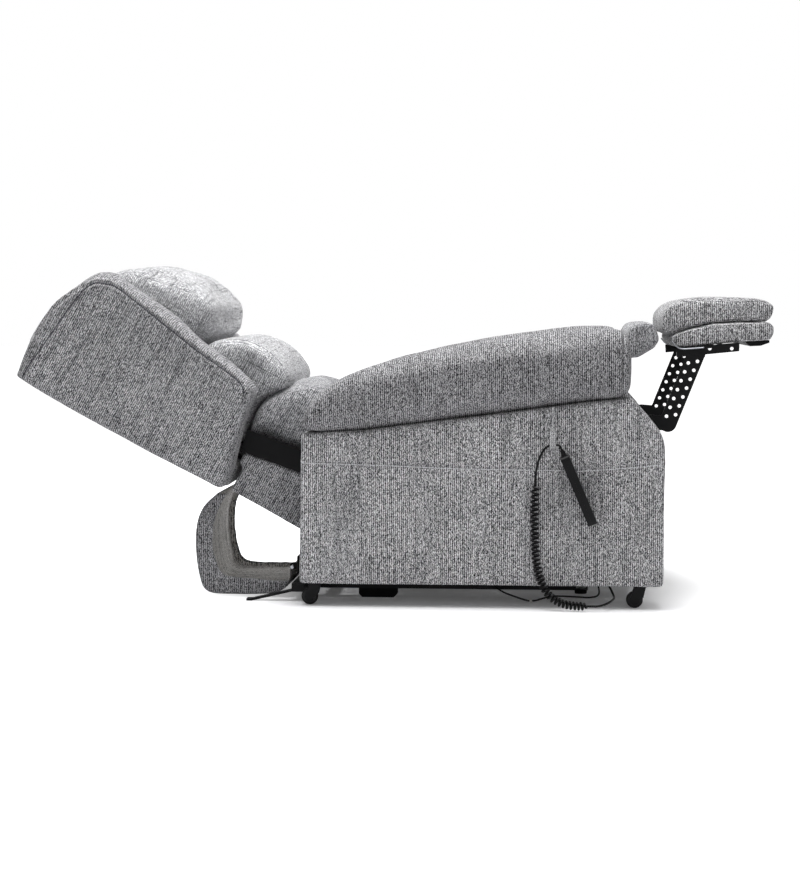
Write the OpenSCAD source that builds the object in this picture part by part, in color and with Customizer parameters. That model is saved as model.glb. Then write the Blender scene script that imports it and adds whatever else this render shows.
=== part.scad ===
// Lift recliner chair, drawn fully reclined with the legrest out.
// X runs forward, Y to the sitter's left, Z up; the floor is Z = 0 and Y = 0 is the middle of the chair.
// Side outlines are drawn in the XZ plane and carried across in Y.

/* [Seat] */
// Width of the seat cushion
seat_w = 482; // [440:2:540]
// Thickness of the seat cushion
seat_cushion_t = 92; // [70:2:110]
// Length of the seat cushion, rear face to the front roll
seat_cushion_l = 508; // [490:2:510]
// Slope of the seat when it is tilted fully back, in degrees
seat_slope = 18; // [14:1:20]

/* [Arms] */
// Thickness of an arm box
arm_t = 127; // [100:1:150]
// How far an arm pad stands out past the arm box
pad_overhang = 22; // [10:1:40]
// Length of an arm box
arm_l = 824; // [810:2:840]
// Height of the arm box at the front, above the skirt
arm_front_h = 320; // [300:2:330]
// Gap between the floor and the arm boxes
skirt_gap = 52; // [50:1:60]

/* [Back] */
// Length of a wing along the back
back_l = 557; // [520:1:600]
// Thickness of a wing
wing_t = 101; // [80:1:130]
// Depth of the padded rear panel
rear_panel_t = 58; // [40:1:60]
// How much deeper the pillows stand than their usual depth
pillow_extra = 0; // [-10:1:10]

/* [Steel] */
// Thickness of the seat, chassis and back plates
plate_t = 4; // [3:0.5:4]
// Thickness of the lift links and their lugs
link_t = 6; // [4:0.5:6]
// Width of the lift links
link_w = 28; // [26:1:32]
// Diameter of the pivot pins
pin_d = 16; // [12:1:18]
// Radial play of a pin in its hole
pin_play = 0.05; // [0.02:0.01:0.1]
// Wall of the box sections
tube_wall = 2.5; // [2:0.5:4]
// Height of the base tubes
base_tube_h = 20; // [16:1:22]
// Height of the base tubes above the floor
foot_h = 22; // [18:1:24]

/* [Legrest] */
// Thickness of the perforated legrest plates
leg_plate_t = 3; // [2:0.5:3]
// Diameter of the holes in the legrest plates
leg_hole_d = 8; // [5:0.5:9]
// Spacing of the holes along the legrest plates
leg_hole_pitch = 22; // [20:1:30]

/* [Castors] */
// Diameter of a castor wheel
castor_d = 38; // [34:1:40]
// Width of a castor wheel
castor_w = 16; // [12:1:20]
// Diameter of a castor axle
castor_axle_d = 6; // [5:0.5:8]
// Trail of a castor, from its stem to its axle
castor_trail = 12; // [8:1:14]

/* [Handset] */
// Length of the handset
handset_l = 168; // [150:1:180]
// Width of the handset
handset_w = 40; // [34:1:44]
// Thickness of the handset
handset_t = 21; // [18:1:24]
// Travel of a handset button
button_travel = 1.5; // [1:0.1:2]
// Diameter of a handset button
button_d = 11; // [9:0.5:12]

/* [Cords] */
// Diameter of the handset cord
cord_d = 5; // [4:0.5:5.5]
// Outer diameter of the curly part
coil_d = 20; // [18:0.5:21]
// Number of curls
coil_turns = 36; // [20:1:40]
// Diameter of the thin control lead
lead_d = 4; // [3:0.5:5]

/* [Hidden] */
$fn = 48;

// ---- Layers across the chair, each measured from the middle plane
running_gap = 1.5;   // between plates that pass each other
seat_half = seat_w / 2;
seat_plate_in = seat_half + 1;
seat_plate_out = seat_plate_in + plate_t;
leg_plate_in = seat_plate_out + running_gap;
leg_plate_out = leg_plate_in + leg_plate_t;
leg_link_in = leg_plate_out + running_gap;
leg_link_out = leg_link_in + plate_t;
side_plate_in = leg_link_out + 2 * running_gap;
side_plate_out = side_plate_in + plate_t;
arm_in = side_plate_out;
arm_out = arm_in + arm_t;
pad_out = arm_out + pad_overhang;
back_half = side_plate_in - 2 * running_gap;      // half width of the back below the wings
wing_in = seat_half + 2.3;
wing_out = wing_in + wing_t;
rail_w = 22;                                      // width of the chassis side rails
rail_in = side_plate_out - rail_w;
front_lug_in = rail_in - link_t;                  // chassis lug of the front lift link
link_gap = 1;
front_link_in = front_lug_in - link_gap - link_t;
base_lug_in = front_link_in - link_gap - link_t;
rear_link_in = base_lug_in - link_gap - link_t;
hole_d = pin_d + 2 * pin_play;

// ---- Heights
base_tube_top = foot_h + base_tube_h;
rail_bottom = skirt_gap + 8;
rail_h = 30;
rail_top = rail_bottom + rail_h;
cross_h = 40;                                     // height of the chassis cross tubes

// ---- Places along the chair
arm_rear_x = -212;
arm_front_x = arm_rear_x + arm_l;
front_cross_x = 520;
cross_depth = 28;
rear_cross_x = -232;

// ---- Pivots, as [X, Z]
rear_link_base = [299, 109];
rear_link_top = [-172, 123];
front_link_base = [370, 88];
front_link_top = [98, 80];
back_hinge = [-119.4, 260.6];
seat_hinge = [20, 372.5];
curtain_hinge = [-246, 72];
curtain_fold = [-446, 9];
lift_motor_pivot = [-155, 62];
lift_crank_r = 70;
lift_crank_angle = 112;
lift_crank_pin = rear_link_base + lift_crank_r * [cos(lift_crank_angle), sin(lift_crank_angle)];
recline_motor_pivot = [470, 140];
back_lug_r = 90;
back_lug_angle = 25;                              // forward of straight down
back_lug_pin = back_hinge + back_lug_r * [sin(back_lug_angle), -cos(back_lug_angle)];
motor_pin_d = 12;

// Seat plane: a runs forward along it and h stands up from it, from the seat hinge
seat_along = [cos(seat_slope), sin(seat_slope)];
seat_up = [-sin(seat_slope), cos(seat_slope)];
function seat_xz(p) = seat_hinge + p[0] * seat_along + p[1] * seat_up;
seat_rear_a = 58;
seat_front_a = seat_rear_a + seat_cushion_l;
legrest_shaft = [418, 358];
legrest_pivot = [585, 417];

// Back plane: s runs up along its rear face and n stands forward of it
back_angle = 28.9;
back_corner = [-401, 257.7];
back_along = [-cos(back_angle), sin(back_angle)];
back_out = [sin(back_angle), cos(back_angle)];
function back_xz(p) = back_corner + p[0] * back_along + p[1] * back_out;
function back_outline(points) = [for (p = points) back_xz(p)];

// ---- Shaping helpers
function unit(v) = v / norm(v);
function catmull(a, b, c, d, t) =
    0.5 * (2 * b + (c - a) * t + (2 * a - 5 * b + 4 * c - d) * t * t + (3 * b - a - 3 * c + d) * t * t * t);
// A closed curve through the points, with n steps from each to the next
function closed_curve(p, n) = let (m = len(p))
    [for (i = [0 : m - 1]) for (k = [0 : n - 1])
        catmull(p[(i + m - 1) % m], p[i], p[(i + 1) % m], p[(i + 2) % m], k / n)];
// An open curve through the points, ends included
function open_curve(p, n) = let (m = len(p))
    concat([for (i = [0 : m - 2]) for (k = [0 : n - 1])
        catmull(p[max(i - 1, 0)], p[i], p[i + 1], p[min(i + 2, m - 1)], k / n)], [p[m - 1]]);
// The outline as it is or turned about, so that it runs anticlockwise
function turning(p) = let (m = len(p))
    [for (i = [0 : m - 1]) p[i][0] * p[(i + 1) % m][1] - p[(i + 1) % m][0] * p[i][1]] * [for (q = p) 1];
function anticlockwise(p) = turning(p) > 0 ? p : [for (i = [len(p) - 1 : -1 : 0]) p[i]];
function box_mid(p) = let (x = [for (q = p) q[0]], z = [for (q = p) q[1]])
    [(min(x) + max(x)) / 2, (min(z) + max(z)) / 2];
function box_half(p) = let (x = [for (q = p) q[0]], z = [for (q = p) q[1]])
    [(max(x) - min(x)) / 2, (max(z) - min(z)) / 2];
// The outline drawn in by d along each axis, kept about its middle
function drawn_in(p, d) = let (c = box_mid(p), h = box_half(p))
    [for (q = anticlockwise(p)) c + [(q[0] - c[0]) * (1 - d / h[0]), (q[1] - c[1]) * (1 - d / h[1])]];

// Skin over a row of rings with equal counts of points, closed at each end by a fan from the ring's
// middle, or from a point hub away from it where the middle doesn't see the whole outline
module skin(rings, hub = [0, 0, 0]) {
    n = len(rings[0]);
    m = len(rings);
    function middle(r) = [for (k = [0 : 2]) [for (q = r) q[k]] * [for (q = r) 1] / n];
    points = concat([for (r = rings) each r], [middle(rings[0]) + hub, middle(rings[m - 1]) + hub]);
    sides = [for (j = [0 : m - 2]) for (i = [0 : n - 1]) let (k = (i + 1) % n)
        each [[j * n + i, j * n + k, (j + 1) * n + k], [j * n + i, (j + 1) * n + k, (j + 1) * n + i]]];
    first = [for (i = [0 : n - 1]) [m * n, (i + 1) % n, i]];
    last = [for (i = [0 : n - 1]) let (b = (m - 1) * n) [m * n + 1, b + i, b + (i + 1) % n]];
    polyhedron(points, concat(sides, first, last));
}

// A stuffed form: a side outline carried from y0 to y1, drawn in at both ends over a rounded edge
module cushion(outline, y0, y1, edge, pull, crown = 0, hub = [0, 0]) {
    steps = [0, 0.12, 0.4, 1];
    near = [for (t = steps) [y0 + t * edge, pull * (1 - sqrt(1 - (1 - t) * (1 - t)))]];
    far = [for (i = [len(steps) - 1 : -1 : 0]) let (t = steps[i])
        [y1 - t * edge, pull * (1 - sqrt(1 - (1 - t) * (1 - t)))]];
    skin([for (s = concat(near, [[(y0 + y1) / 2, -crown]], far))
        [for (q = drawn_in(outline, s[1])) [q[0], s[0], q[1]]]], [hub[0], 0, hub[1]]);
}

module across(y0, y1) translate([0, y1, 0]) rotate([90, 0, 0]) linear_extrude(y1 - y0) children();
module pin(p, d, y0, y1) translate([p[0], y1, p[1]]) rotate([90, 0, 0]) cylinder(d = d, h = y1 - y0);
module both_sides() { children(); mirror([0, 1, 0]) children(); }
module disc(p, d) translate(p) circle(d = d);
// A flat bar with round ends between two points
module strap_2d(p, q, w) {
    disc(p, w);
    disc(q, w);
    side = unit([p[1] - q[1], q[0] - p[0]]) * w / 2;
    polygon([p + side, q + side, q - side, p - side]);
}
// A box section lying along X, with open ends
module tube_x(x0, x1, y0, y1, z0, z1) difference() {
    translate([x0, y0, z0]) cube([x1 - x0, y1 - y0, z1 - z0]);
    translate([x0 - 1, y0 + tube_wall, z0 + tube_wall])
        cube([x1 - x0 + 2, y1 - y0 - 2 * tube_wall, z1 - z0 - 2 * tube_wall]);
}
// A box section lying along Y, with open ends
module tube_y(y0, y1, x0, x1, z0, z1) difference() {
    translate([x0, y0, z0]) cube([x1 - x0, y1 - y0, z1 - z0]);
    translate([x0 + tube_wall, y0 - 1, z0 + tube_wall])
        cube([x1 - x0 - 2 * tube_wall, y1 - y0 + 2, z1 - z0 - 2 * tube_wall]);
}
// Rings of a round tube along a path, each turned from the one before only as the path bends; ref is
// not parallel to the path's first stretch
function tube_rings(path, d, sides, ref) = let (
    m = len(path),
    t = [for (i = [0 : m - 1]) unit(path[min(i + 1, m - 1)] - path[max(i - 1, 0)])])
    [for (
        i = 0, u = unit(cross(t[0], ref));
        i < m;
        u = i + 1 < m ? unit(u - (u * t[i + 1]) * t[i + 1]) : u, i = i + 1)
        let (v = cross(u, t[i])) [for (k = [0 : sides - 1])
            path[i] + d / 2 * (cos(360 * k / sides) * u + sin(360 * k / sides) * v)]];

// ==== Base ====
base_rail_out = base_lug_in + link_t;
base_rail_w = 40;
base_rear_x = -240;
base_front_x = 445;
base_bar_w = 30;
stabiliser_y = 290;
stabiliser_w = 26;
stabiliser_t = 5;
stabiliser_l = 106;
foot_l = 90;
foot_x = -46;
front_foot_y = 118;
front_foot_d = 34;

module base_frame() color("#26262a") {
    both_sides() {
        tube_x(base_rear_x + base_bar_w, base_front_x - base_bar_w,
            base_rail_out - base_rail_w, base_rail_out, foot_h, base_tube_top);
        difference() {
            across(base_lug_in, base_rail_out) union() {
                strap_2d(rear_link_base, [rear_link_base[0] + 18, base_tube_top], link_w + 4);
                strap_2d(front_link_base, [front_link_base[0], base_tube_top], link_w + 4);
                translate([rear_link_base[0] + 18, foot_h])
                    square([front_link_base[0] - rear_link_base[0] - 18, front_link_base[1] - foot_h]);
            }
            pin(rear_link_base, pin_d, base_lug_in - 1, base_rail_out + 1);
            pin(front_link_base, pin_d, base_lug_in - 1, base_rail_out + 1);
            translate([0, base_lug_in - 1, 0]) cube([600, link_t + 2, foot_h]);
        }
    }
    translate([base_rear_x, -stabiliser_y - stabiliser_w / 2, foot_h])
        cube([base_bar_w, 2 * stabiliser_y + stabiliser_w, base_tube_h]);
    tube_y(-base_rail_out, base_rail_out, base_front_x - base_bar_w, base_front_x, foot_h, base_tube_top);
    tube_y(-base_rail_out + base_rail_w, base_rail_out - base_rail_w,
        lift_motor_pivot[0] - base_bar_w / 2, lift_motor_pivot[0] + base_bar_w / 2, foot_h, base_tube_top);
    both_sides() difference() {
        across(motor_eye_t / 2 + link_gap, motor_eye_t / 2 + link_gap + link_t) union() {
            disc(lift_motor_pivot, 26);
            translate([lift_motor_pivot[0] - 13, base_tube_top])
                square([26, lift_motor_pivot[1] - base_tube_top]);
        }
        pin(lift_motor_pivot, motor_pin_d, 0, 40);
    }
}

module base_feet() color("#1b1b1d") {
    both_sides() {
        across(base_rail_out - base_rail_w + 4, base_rail_out - 4) polygon([
            [foot_x - foot_l / 2 + 8, 0], [foot_x + foot_l / 2 - 8, 0], [foot_x + foot_l / 2, 8],
            [foot_x + foot_l / 2, foot_h], [foot_x - foot_l / 2, foot_h], [foot_x - foot_l / 2, 8]]);
        translate([base_front_x - base_bar_w / 2, front_foot_y, 0])
            cylinder(d1 = front_foot_d - 6, d2 = front_foot_d, h = foot_h);
    }
}

module stabiliser_bars() color("#1f1f22") both_sides()
    across(stabiliser_y - stabiliser_w / 2, stabiliser_y + stabiliser_w / 2) polygon([
        [base_rear_x, foot_h], [base_rear_x, foot_h + stabiliser_t],
        [base_rear_x - stabiliser_l + 12, stabiliser_t], [base_rear_x - stabiliser_l, stabiliser_t],
        [base_rear_x - stabiliser_l, 0], [base_rear_x - stabiliser_l + 12, 0]]);

module base_pins() color("#8f9094") {
    both_sides() {
        pin(rear_link_base, pin_d, rear_link_in, base_rail_out);
        pin(front_link_base, pin_d, base_lug_in, front_link_in + link_t + 0.6);
    }
    pin(lift_motor_pivot, motor_pin_d, -motor_eye_t / 2 - link_gap - link_t,
        motor_eye_t / 2 + link_gap + link_t);
}

// ==== Lift links ====
torque_tube_d = 28;    // joins the two links on the axis of their lower pins
crank_t = 12;
crank_w = 26;
crank_out = unit(lift_crank_pin - rear_link_base);
rod_pin_d = 10;
crank_slot = 5.5;      // each way, for the lift rod's pin
crank_slot_play = 1.5;

module rear_lift_links() color("#3a3b40") {
    both_sides() difference() {
        across(rear_link_in, rear_link_in + link_t) strap_2d(rear_link_base, rear_link_top, link_w);
        pin(rear_link_base, hole_d, 0, 400);
        pin(rear_link_top, hole_d, 0, 400);
    }
    pin(rear_link_base, torque_tube_d, -rear_link_in, rear_link_in);
    difference() {
        across(-crank_t / 2, crank_t / 2)
            strap_2d(rear_link_base, lift_crank_pin + crank_slot * crank_out, crank_w);
        across(-crank_t, crank_t)
            slot_2d(lift_crank_pin, crank_out, 2 * crank_slot, rod_pin_d + 2 * crank_slot_play);
    }
}
// A slot centred on p, length long between its end centres, along dir
module slot_2d(p, dir, length, w) strap_2d(p - dir * length / 2, p + dir * length / 2, w);

front_link_top_play = 1.2;
module front_lift_links() color("#3a3b40") both_sides() difference() {
    across(front_link_in, front_link_in + link_t) strap_2d(front_link_base, front_link_top, link_w);
    pin(front_link_base, hole_d, 0, 400);
    pin(front_link_top, pin_d + 2 * front_link_top_play, 0, 400);
}

// ==== Chassis ====
side_plate_rear_x = -165;
side_plate_front_x = 88;
bracket_t = 4;
motor_y = -60;         // middle plane of the recline motor
module chassis_frame() color("#2a2a2e") {
    both_sides() {
        tube_x(rear_cross_x + cross_depth, front_cross_x, rail_in, side_plate_out, rail_bottom, rail_top);
        difference() {
            across(side_plate_in, side_plate_out) polygon([
                [side_plate_rear_x, rail_bottom], [side_plate_front_x, rail_bottom],
                [seat_hinge[0] + 42, seat_hinge[1] - 90], [seat_hinge[0] + 24, seat_hinge[1]],
                [seat_hinge[0] + 12, seat_hinge[1] + 20], [seat_hinge[0] - 12, seat_hinge[1] + 20],
                [seat_hinge[0] - 24, seat_hinge[1]], [seat_hinge[0] - 42, seat_hinge[1] - 80],
                [back_hinge[0] + 18, back_hinge[1] + 24], [back_hinge[0] - 18, back_hinge[1] + 24],
                [back_hinge[0] - 28, back_hinge[1]]]);
            pin(seat_hinge, pin_d, 0, 400);
            pin(back_hinge, pin_d, 0, 400);
            pin([(seat_hinge[0] + back_hinge[0]) / 2, 170], 90, 0, 400);
        }
        difference() {
            across(front_lug_in, rail_in) union() {
                disc(front_link_top, link_w + 6);
                translate([front_link_top[0] - 28, rail_bottom]) square([56, rail_h]);
            }
            pin(front_link_top, pin_d, 0, 400);
        }
        difference() {
            across(base_lug_in, base_rail_out) union() {
                strap_2d(rear_link_top, [rear_link_top[0] - 20, rail_bottom + 24], link_w + 4);
                translate([rear_cross_x + cross_depth, rail_bottom]) square([40, cross_h]);
            }
            pin(rear_link_top, pin_d, 0, 400);
        }
    }
    tube_y(-side_plate_out, side_plate_out, rear_cross_x, rear_cross_x + cross_depth, rail_bottom,
        rail_bottom + cross_h);
    tube_y(-side_plate_out, side_plate_out, front_cross_x, front_cross_x + cross_depth, rail_bottom,
        rail_bottom + cross_h);
    for (side = [-1, 1]) difference() {
        translate([0, motor_y + side * (motor_eye_t / 2 + link_gap + bracket_t / 2), 0])
            across(-bracket_t / 2, bracket_t / 2) union() {
                disc(recline_motor_pivot, 30);
                polygon([[front_cross_x, rail_bottom + 2], [front_cross_x, rail_bottom + cross_h],
                    recline_motor_pivot + [4, 15], recline_motor_pivot - [4, 15]]);
            }
        pin(recline_motor_pivot, motor_pin_d, motor_y - 60, motor_y + 60);
    }
    both_sides() for (y = curtain_lug_y) difference() {
        across(y, y + curtain_lug_t) union() {
            disc(curtain_hinge, 16);
            translate([curtain_hinge[0], curtain_hinge[1] - 8]) square([rear_cross_x - curtain_hinge[0],
                16]);
        }
        pin(curtain_hinge, curtain_rod_d, 0, 400);
    }
}

hinge_collar_d = 30;
collar_gap = 0.4;
module chassis_pins() color("#8f9094") {
    both_sides() {
        pin(seat_hinge, pin_d, seat_plate_in - 1, side_plate_out);
        difference() {
            pin(seat_hinge, hinge_collar_d, seat_plate_out + collar_gap, side_plate_in);
            pin(seat_hinge, pin_d, 0, 400);
        }
        pin(back_hinge, pin_d, back_half - plate_t - 2, side_plate_out);
        difference() {
            pin(back_hinge, hinge_collar_d, back_half + collar_gap, side_plate_in);
            pin(back_hinge, pin_d, 0, 400);
        }
        pin(rear_link_top, pin_d, rear_link_in - 2, base_rail_out);
        pin(front_link_top, pin_d, front_link_in - 0.6, rail_in);
    }
    pin(recline_motor_pivot, motor_pin_d, motor_y - motor_eye_t / 2 - link_gap - bracket_t,
        motor_y + motor_eye_t / 2 + link_gap + bracket_t);
}

curtain_half = back_half - 4;
curtain_rod_d = 8;
curtain_lug_y = [curtain_half - 40, 20];
curtain_lug_t = 6;
module curtain_rod() color("#8f9094") pin(curtain_hinge, curtain_rod_d, -curtain_half + 2, curtain_half - 2);

box_size = [100, 80, 40];
box_y = -200;
module control_box() color("#222226")
    translate([front_cross_x - box_size[0], box_y, rail_bottom + cross_h - box_size[2]]) {
        cube(box_size);
        // Ribs under the case
        for (k = [0 : 4]) translate([12 + 18 * k, 8, -2]) cube([4, box_size[1] - 16, 2]);
    }

// ==== Motors: a gear head with an eye, a tube, and a rod that slides out of it ====
motor_eye_t = 18;
motor_eye_d = 24;
motor_neck_l = 20;     // from the eye to the gear head
motor_head_l = 70;
motor_head_w = 40;
motor_can_d = 36;
motor_can_l = 30;
motor_tube_d = 34;
motor_rod_d = 18;
rod_play = 0.1;
rod_inside = 120;      // length of rod left inside the tube at rest
fork_cheek_t = 5;
fork_side_gap = 1;
fork_h = 26;
fork_nose = 13;        // from the pin to the fork's open end
fork_root = 36;        // from the pin to the fork's bridge
fork_bridge_t = 9;
// Places its children along the line from p to q, starting at p, in the plane at y
module along(p, q, y) translate([p[0], y, p[1]]) rotate([0, -atan2(q[1] - p[1], q[0] - p[0]), 0]) children();

module motor_body(p, q, y, tube_l, can_side) along(p, q, y) {
    difference() {
        union() {
            rotate([90, 0, 0]) cylinder(d = motor_eye_d, h = motor_eye_t, center = true);
            translate([0, -motor_eye_t / 2, -motor_eye_d / 2])
                cube([motor_neck_l, motor_eye_t, motor_eye_d]);
            translate([motor_neck_l, -motor_head_w / 2, -motor_head_w / 2])
                cube([motor_head_l, motor_head_w, motor_head_w]);
            translate([motor_neck_l + motor_head_l, 0, 0]) rotate([0, 90, 0])
                cylinder(d = motor_tube_d, h = tube_l - motor_neck_l - motor_head_l);
        }
        rotate([90, 0, 0]) cylinder(d = motor_pin_d + 2 * pin_play, h = 60, center = true);
        translate([motor_neck_l + motor_head_w, 0, 0]) rotate([0, 90, 0])
            cylinder(d = motor_rod_d + 2 * rod_play, h = tube_l);
    }
    translate([motor_neck_l + motor_can_d / 2, can_side * (motor_head_w + motor_can_l) / 2, 0])
        rotate([90, 0, 0]) cylinder(d = motor_can_d, h = motor_can_l, center = true);
}
// The rod ends in a fork whose two cheeks pass the lug, joined by the rod's own pin
module motor_rod(p, q, y, tube_l, out) along(p, q, y) {
    fork_in = crank_t + 2 * fork_side_gap;
    fork_w = fork_in + 2 * fork_cheek_t;
    translate([tube_l - rod_inside, 0, 0]) rotate([0, 90, 0])
        cylinder(d = motor_rod_d, h = out - fork_root - fork_bridge_t / 2 - tube_l + rod_inside);
    difference() {
        translate([out - fork_root - fork_bridge_t, -fork_w / 2, -fork_h / 2])
            cube([fork_root + fork_bridge_t + fork_nose, fork_w, fork_h]);
        translate([out - fork_root, -fork_in / 2, -fork_h]) cube([2 * fork_root, fork_in, 2 * fork_h]);
    }
    translate([out, 0, 0]) rotate([90, 0, 0]) cylinder(d = rod_pin_d, h = fork_w, center = true);
}
function dist(p, q) = norm(q - p);

lift_tube_l = 330;
recline_tube_l = 400;
module lift_motor() color("#2d2d31") motor_body(lift_motor_pivot, lift_crank_pin, 0, lift_tube_l, 1);
module lift_rod() color("#b9bbc0")
    motor_rod(lift_motor_pivot, lift_crank_pin, 0, lift_tube_l, dist(lift_motor_pivot, lift_crank_pin));
module recline_motor() color("#2d2d31") motor_body(recline_motor_pivot, back_lug_pin, motor_y,
    recline_tube_l, -1);
module recline_rod() color("#b9bbc0")
    motor_rod(recline_motor_pivot, back_lug_pin, motor_y, recline_tube_l, dist(recline_motor_pivot,
        back_lug_pin));

// ==== Arms ====
pad_seam = 0.3;          // between the pad's underside and the box
arm_top = skirt_gap + arm_front_h;
arm_drawn_l = 824;       // the arm's length that the lines below are drawn for
// Places along the arm, from its rear face forward, follow its length
function along_arm(x) = arm_rear_x + x * arm_l / arm_drawn_l;
function arm_line(points) = [for (p = points) [along_arm(p[0]), p[1]]];
// Top edge of the arm box: the line that the pad lies on, from the rear forward
pad_line = arm_line([[5, 396], [145, 403], [293, 422], [425, 439], [548, 455], [651, 468], [739, 477]]);
pad_top = arm_line([[5, 440], [26, 470], [68, 508], [116, 536], [182, 553], [330, 590], [495, 615],
    [659, 633], [717, 636], [742, 626]]);

module arm_box() color("#8d8d90") across(arm_in, arm_out) polygon(concat(
    [[arm_rear_x + 4, skirt_gap], [arm_front_x - 4, skirt_gap], [arm_front_x, skirt_gap + 5],
     [arm_front_x + 2, arm_top - 10], [arm_front_x - 1, arm_top + 10], [arm_front_x - 8, arm_top + 29],
     [arm_front_x - 38, arm_top + 68], [arm_front_x - 76, arm_top + 109]],
    [for (i = [len(pad_line) - 1 : -1 : 0]) pad_line[i] - [0, pad_seam]],
    [[arm_rear_x, skirt_gap + 5]]));
module right_arm_box() mirror([0, 1, 0]) arm_box();
module left_arm_box() arm_box();

function curve_z(line, x) = lookup(x, [for (q = line) [q[0], q[1]]]);
// Cross-section of the pad at x: flat under and inside, full and round over the outer edge
function pad_ring(x, shrink) = let (
    low = curve_z(pad_line, x) - pad_sag + shrink, high = curve_z(pad_top, x) - shrink,
    mid = (low + high) / 2, half = (high - low) / 2, wide = (pad_out - arm_in) / 2 - shrink,
    centre = (pad_out + arm_in) / 2)
    [for (k = [0 : pad_sides - 1]) let (a = -360 * (k + 0.5) / pad_sides, c = cos(a), s = sin(a))
        [x, centre + wide * sign(c) * pow(abs(c), pad_square), mid + half * sign(s)
        * pow(abs(s), pad_square)]];
pad_sides = 16;
pad_square = 0.55;     // under 1 squares the section off
pad_sag = 0.5;         // how far the section's lowest line would lie below its flat underside
pad_end = [0, 4, 17];     // rings of the rear end, from the pad's rear face forward
pad_middle = [52, 92, 152, 232, 332, 452, 572, 662, 717];
pad_nose = [14, 4, 0];    // rings of the front end, from the pad's front face back
pad_front = 750;
pad_x = concat([for (x = pad_end) along_arm(5) + x], [for (x = pad_middle) along_arm(x)],
    [for (x = pad_nose) along_arm(pad_front) - x]);
pad_draw = [17, 11, 4, 0, 0, 0, 0, 0, 0, 0, 0, 0, 4, 14, 26];
module arm_pad() color("#9c9c9f") skin([for (i = [0 : len(pad_x) - 1]) pad_ring(pad_x[i], pad_draw[i])]);
module right_arm_pad() mirror([0, 1, 0]) arm_pad();
module left_arm_pad() arm_pad();

// ==== Seat ====
seat_rail_w = 30;
seat_rail_h = 25;
seat_tube = 25;
seat_tube_wall = 3;
seat_frame_front_a = seat_front_a - 44;   // set back, clear of the folded legrest
rear_tube_a = seat_rear_a + 4;
front_tube_a = seat_frame_front_a - seat_tube;
pad_lift = 0.4;        // between the frame's top and what rests on it
function seat_outline(points) = [for (p = points) seat_xz(p)];
module seat_side_2d() {
    polygon(seat_outline([[-4, -22], [seat_frame_front_a - 30, -40], [seat_frame_front_a, -30],
        [seat_frame_front_a, -2], [0, 20]]));
    disc(seat_hinge, 40);
    disc(legrest_shaft, 40);
    foot = seat_outline([[300, -20], [440, -20]]);
    polygon([foot[0], foot[1], legrest_shaft + [19, 6], legrest_shaft - [18, 8]]);
}
module seat_tube_2d(a, wall) polygon(seat_outline([[a + wall, wall - seat_rail_h],
    [a + seat_tube - wall, wall - seat_rail_h], [a + seat_tube - wall, -pad_lift - wall],
    [a + wall, -pad_lift - wall]]));
module seat_frame() color("#2c2c30") {
    both_sides() difference() {
        across(seat_plate_in, seat_plate_out) seat_side_2d();
        pin(seat_hinge, hole_d, 0, 400);
        pin(legrest_shaft, hole_d, 0, 400);
    }
    both_sides() across(seat_plate_in - seat_rail_w, seat_plate_in) polygon(seat_outline([
        [seat_rear_a, -seat_rail_h], [seat_frame_front_a, -seat_rail_h],
        [seat_frame_front_a, -pad_lift], [seat_rear_a, -pad_lift]]));
    for (a = [rear_tube_a, front_tube_a])
        across(-seat_plate_in + seat_rail_w, seat_plate_in - seat_rail_w) difference() {
            seat_tube_2d(a, 0);
            seat_tube_2d(a, seat_tube_wall);
        }
}

// A cloth-covered board between the seat and the back, low enough for the back to pass over it
deck_top = -18;
deck_t = 6;
deck_l = 172;
module seat_rear_deck() color("#87878a") across(-seat_plate_in, seat_plate_in)
    let (a0 = seat_rear_a - 0.2, a1 = seat_rear_a - deck_l) polygon(seat_outline([
        [a0, deck_top], [a0, deck_top - deck_t], [a1 + 12, deck_top - deck_t], [a1, deck_top - 14],
        [a1 - 8, deck_top - 10], [a1 - 8, deck_top - 2], [a1 - 2, deck_top + 3], [a1 + 12, deck_top]]));

spring_count = 5;
spring_pitch = 76;
spring_d = 5;
spring_wave = 16;      // height of each wave, to either side
spring_waves = 9;
spring_lead = 6;       // straight wire at each end
spring_h = -12;
module seat_springs() color("#a3a5aa") for (i = [0 : spring_count - 1]) {
    y = (i - (spring_count - 1) / 2) * spring_pitch;
    a0 = rear_tube_a + seat_tube;
    a1 = front_tube_a;
    steps = spring_waves * 4;
    wave = [for (k = [0 : steps]) [a0 + spring_lead + (a1 - a0 - 2 * spring_lead) * k / steps,
        y + spring_wave * sin(90 * k)]];
    path = [for (w = concat([[a0, y]], wave, [[a1, y]])) let (p = seat_xz([w[0], spring_h])) [p[0], w[1],
        p[1]]];
    skin(tube_rings(path, spring_d, 6, [seat_up[0], 0, seat_up[1]]));
}

seat_crown = 2;
module seat_cushion() color("#9a9a9d") {
    top = seat_cushion_t;
    cushion(closed_curve([for (p = [
        [seat_rear_a + 2, 7], [seat_rear_a, 45], [seat_rear_a + 14, top - 10], [seat_rear_a + 90, top + 3],
        [seat_rear_a + 250, top + 4], [seat_front_a - 64, top], [seat_front_a - 8.6, top - 8],
        [seat_front_a - 18.6, 50], [seat_front_a - 28.6, 7], [seat_front_a - 80, 1.2],
        [seat_rear_a + 250, 1.2], [seat_rear_a + 60, 1.2]])
        seat_xz(p)], 2), -seat_half, seat_half, 40, 9, seat_crown);
}

// The padded roll at the seat's front edge, against the legrest cushion
roll_outline = [[534, 560], [531, 600], [535, 630], [546, 642], [566, 646], [588, 645], [597, 639],
    [604, 622],
    [608, 606], [600, 594], [583, 584], [560, 571]];
module seat_front_roll() color("#9a9a9d")
    cushion(closed_curve(roll_outline, 2), -seat_half, seat_half, 26, 8, 0);

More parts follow.
